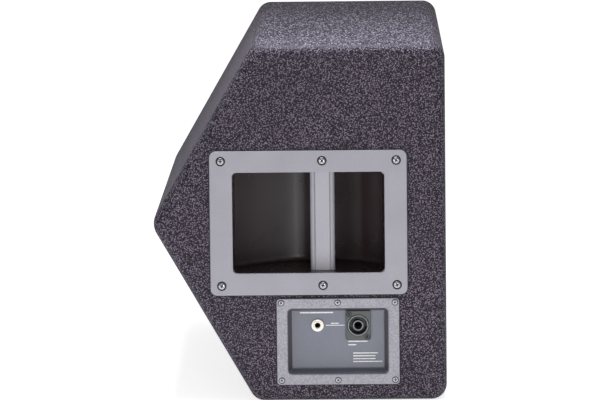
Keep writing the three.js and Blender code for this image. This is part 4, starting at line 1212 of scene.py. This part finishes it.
def build_foam():
    """Foam sheet behind the grille, with a slightly uneven face."""
    y0, y1, z0, z1 = GRILLE
    edge = GRILLE_SHEET + 3
    front = GRILLE_FRONT - GRILLE_SHEET - 0.5
    columns, rows = 90, 56
    points = []
    for back in (0, 1):
        for i in range(columns + 1):
            for j in range(rows + 1):
                y = y0 + edge + (y1 - y0 - 2 * edge) * i / columns
                z = z0 + edge + (z1 - z0 - 2 * edge) * j / rows
                wave = noise.noise(Vector((y * 0.05, z * 0.05, back))) * 0.5
                x = front - abs(wave) if not back else front - FOAM_THICKNESS + abs(wave) * 0.5
                points.append((x, y, z))
    side = (columns + 1) * (rows + 1)
    faces = grid_faces(columns + 1, rows + 1) + grid_faces(columns + 1, rows + 1, side)
    border = [(i, 0) for i in range(columns)] + [(columns, j) for j in range(rows)]
    border += [(i, rows) for i in range(columns, 0, -1)] + [(0, j) for j in range(rows, 0, -1)]
    for k, (i, j) in enumerate(border):
        n_i, n_j = border[(k + 1) % len(border)]
        a = i * (rows + 1) + j
        b = n_i * (rows + 1) + n_j
        faces.append((a, b, b + side, a + side))
    obj = new_object("foam_sheet", mesh_from(points, faces), FOAM)
    finish_piece(obj, ["grille_foam"])


# ---------------------------------------------------------------- pole socket


def build_pole_socket():
    """Square flange with four screws, and the closed tube that takes a pole."""
    half = POLE_FLANGE / 2
    box = (POLE_X - half, POLE_X + half, AXIS_Z - half, AXIS_Z + half, 8)
    front = LENGTH + PLATE_PROUD
    layers = [(outline, LENGTH - y) for outline, y in plate_layers(box, -PLATE_PROUD, PLATE_BACK)]
    flange = new_object("pole_socket_flange", loft_mesh(layers), HORN_PLASTIC)
    mouth = POLE_BORE + 1.5
    bore = cylinder_mesh(mouth, LENGTH - 2, front + 1, POLE_X, AXIS_Z, 72)
    cut(flange, bore, *screw_sinks(pole_screw_places(), front, -1))
    finish_piece(flange, ["pole_cup"])
    wall = POLE_BORE + POLE_WALL
    back = LENGTH - POLE_DEPTH
    floor = back + POLE_WALL
    profile = [
        [0.3, floor], [POLE_BORE - 1.5, floor], [POLE_BORE, floor + 1.5], [POLE_BORE, front - 1.6],
        [POLE_BORE + 0.5, front - 0.5], [mouth, front], [mouth, LENGTH + 0.2],
        [wall, LENGTH - 0.2], [wall, back], [0.3, back],
    ]
    tube = new_object("pole_socket_tube", lathe_mesh(profile, POLE_X, AXIS_Z, 72, closed=True), HORN_PLASTIC)
    finish_piece(tube)


# ---------------------------------------------------------------- woofer suspension


def half_roll(radius, start, end, steps=12):
    """Half of the surround's roll, seen in section."""
    turn = (end - start) / steps
    angles = [start + turn * k for k in range(steps + 1)]
    return [
        [SURROUND_MIDDLE + radius * math.cos(a), SURROUND_LIP + 0.1 + 1.1 * radius * math.sin(a)]
        for a in angles
    ]


def add_suspension_ring(name, profile, inner, outer, node):
    """A cloth ring turned about the woofer's axis; each point's share between the inner and outer radius is
    worked out but not used.
    """
    points, faces = lathe_points(profile, 96, closed=True)
    turned = [(y, WOOFER_Y + x, AXIS_Z + z) for x, y, z in points]
    obj = new_object(name, mesh_from(turned, faces), TREATED_CLOTH)
    for polygon in obj.data.polygons:
        polygon.use_smooth = True
    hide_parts(node)
    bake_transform(obj)
    for vertex in obj.data.vertices:
        away = (vertex.co - place(0, WOOFER_Y, AXIS_Z)) / MM
        share = (outer - math.hypot(away.y, away.z)) / (outer - inner)
        share = max(0.0, min(1.0, share))


def build_suspension():
    """The half-roll surround and the corrugated spider."""
    roll = [
        [126, SURROUND_LIP],
        *half_roll(4.4, math.pi, 0),
        [141, SURROUND_LIP],
        [141, SURROUND_LIP + 1.1],
        *half_roll(5.4, 0, math.pi),
        [126, SURROUND_LIP + 1.1],
    ]
    add_suspension_ring("cone_surround", roll, 127.5, 137, "surround")
    ripple = []
    for k in range(45):
        radius = 40 + k * 0.5
        ripple.append([radius, SPIDER_BACK + 1 - math.cos(2 * math.pi * (radius - 40) / 11)])
    disc = [
        [33.5, SPIDER_BACK],
        *ripple,
        [71, SPIDER_BACK - 0.2],
        [71, SPIDER_BACK + 0.8],
        *[[radius, x + 1] for radius, x in reversed(ripple)],
        [33.5, SPIDER_BACK + 1],
    ]
    add_suspension_ring("cone_spider", disc, 36, 66, "spider")


# ---------------------------------------------------------------- inner pieces that keep their CAD shape

NODE_FINISHES = (
    (COATING, ["front_baffle"]),
    (PLYWOOD, ["internal_brace"]),
    (CAST_FRAME, ["woofer_basket"]),
    (MOTOR_STEEL, ["woofer_motor", "compression_driver"]),
    (PAPER, ["woofer_cone", "dust_cap"]),
    (WINDING, ["voice_coil", "inductor_woofer", "inductor_horn"]),
    (HORN_PLASTIC, ["horn", "port_tube_lower", "port_tube_upper"]),
    (DIAPHRAGM, ["hf_diaphragm"]),
    (BOARD_GREEN, ["crossover_board"]),
    (CAPACITOR_FILM, ["capacitor_large", "capacitor_small"]),
    (WIRE_JACKET, ["wire_input", "wire_woofer", "wire_horn"]),
)

for material, nodes in NODE_FINISHES:
    for name in nodes:
        node_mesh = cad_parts[name].data
        node_mesh.materials.clear()
        node_mesh.materials.append(material)


# ---------------------------------------------------------------- floor


def build_floor():
    size = 14.0
    finish = Finish("pale_floor", 0.9, specular=0.1)
    tone = finish.noise(3, 2.0)
    finish.color(finish.ramp(tone, [(0.3, grey(0.93)), (0.7, grey(0.95))]))
    finish.set(finish.shader, Emission_Color=(1, 1, 1, 1), Emission_Strength=0.7)
    mesh = bpy.data.meshes.new("floor")
    corners = [(-size, -size, 0), (size, -size, 0), (size, size, 0), (-size, size, 0)]
    mesh.from_pydata(corners, [], [(0, 1, 2, 3)])
    floor = new_object("floor", mesh, finish.material)


build_floor()
build_end_panels()
build_boards()
build_handle_frame()
build_painted_shadow_gaskets()
build_cup()
build_grip()
build_input_surround()
build_dish()
build_printing()
build_connector(build_screws())
build_jack()
build_grille()
build_foam()
build_pole_socket()
build_suspension()
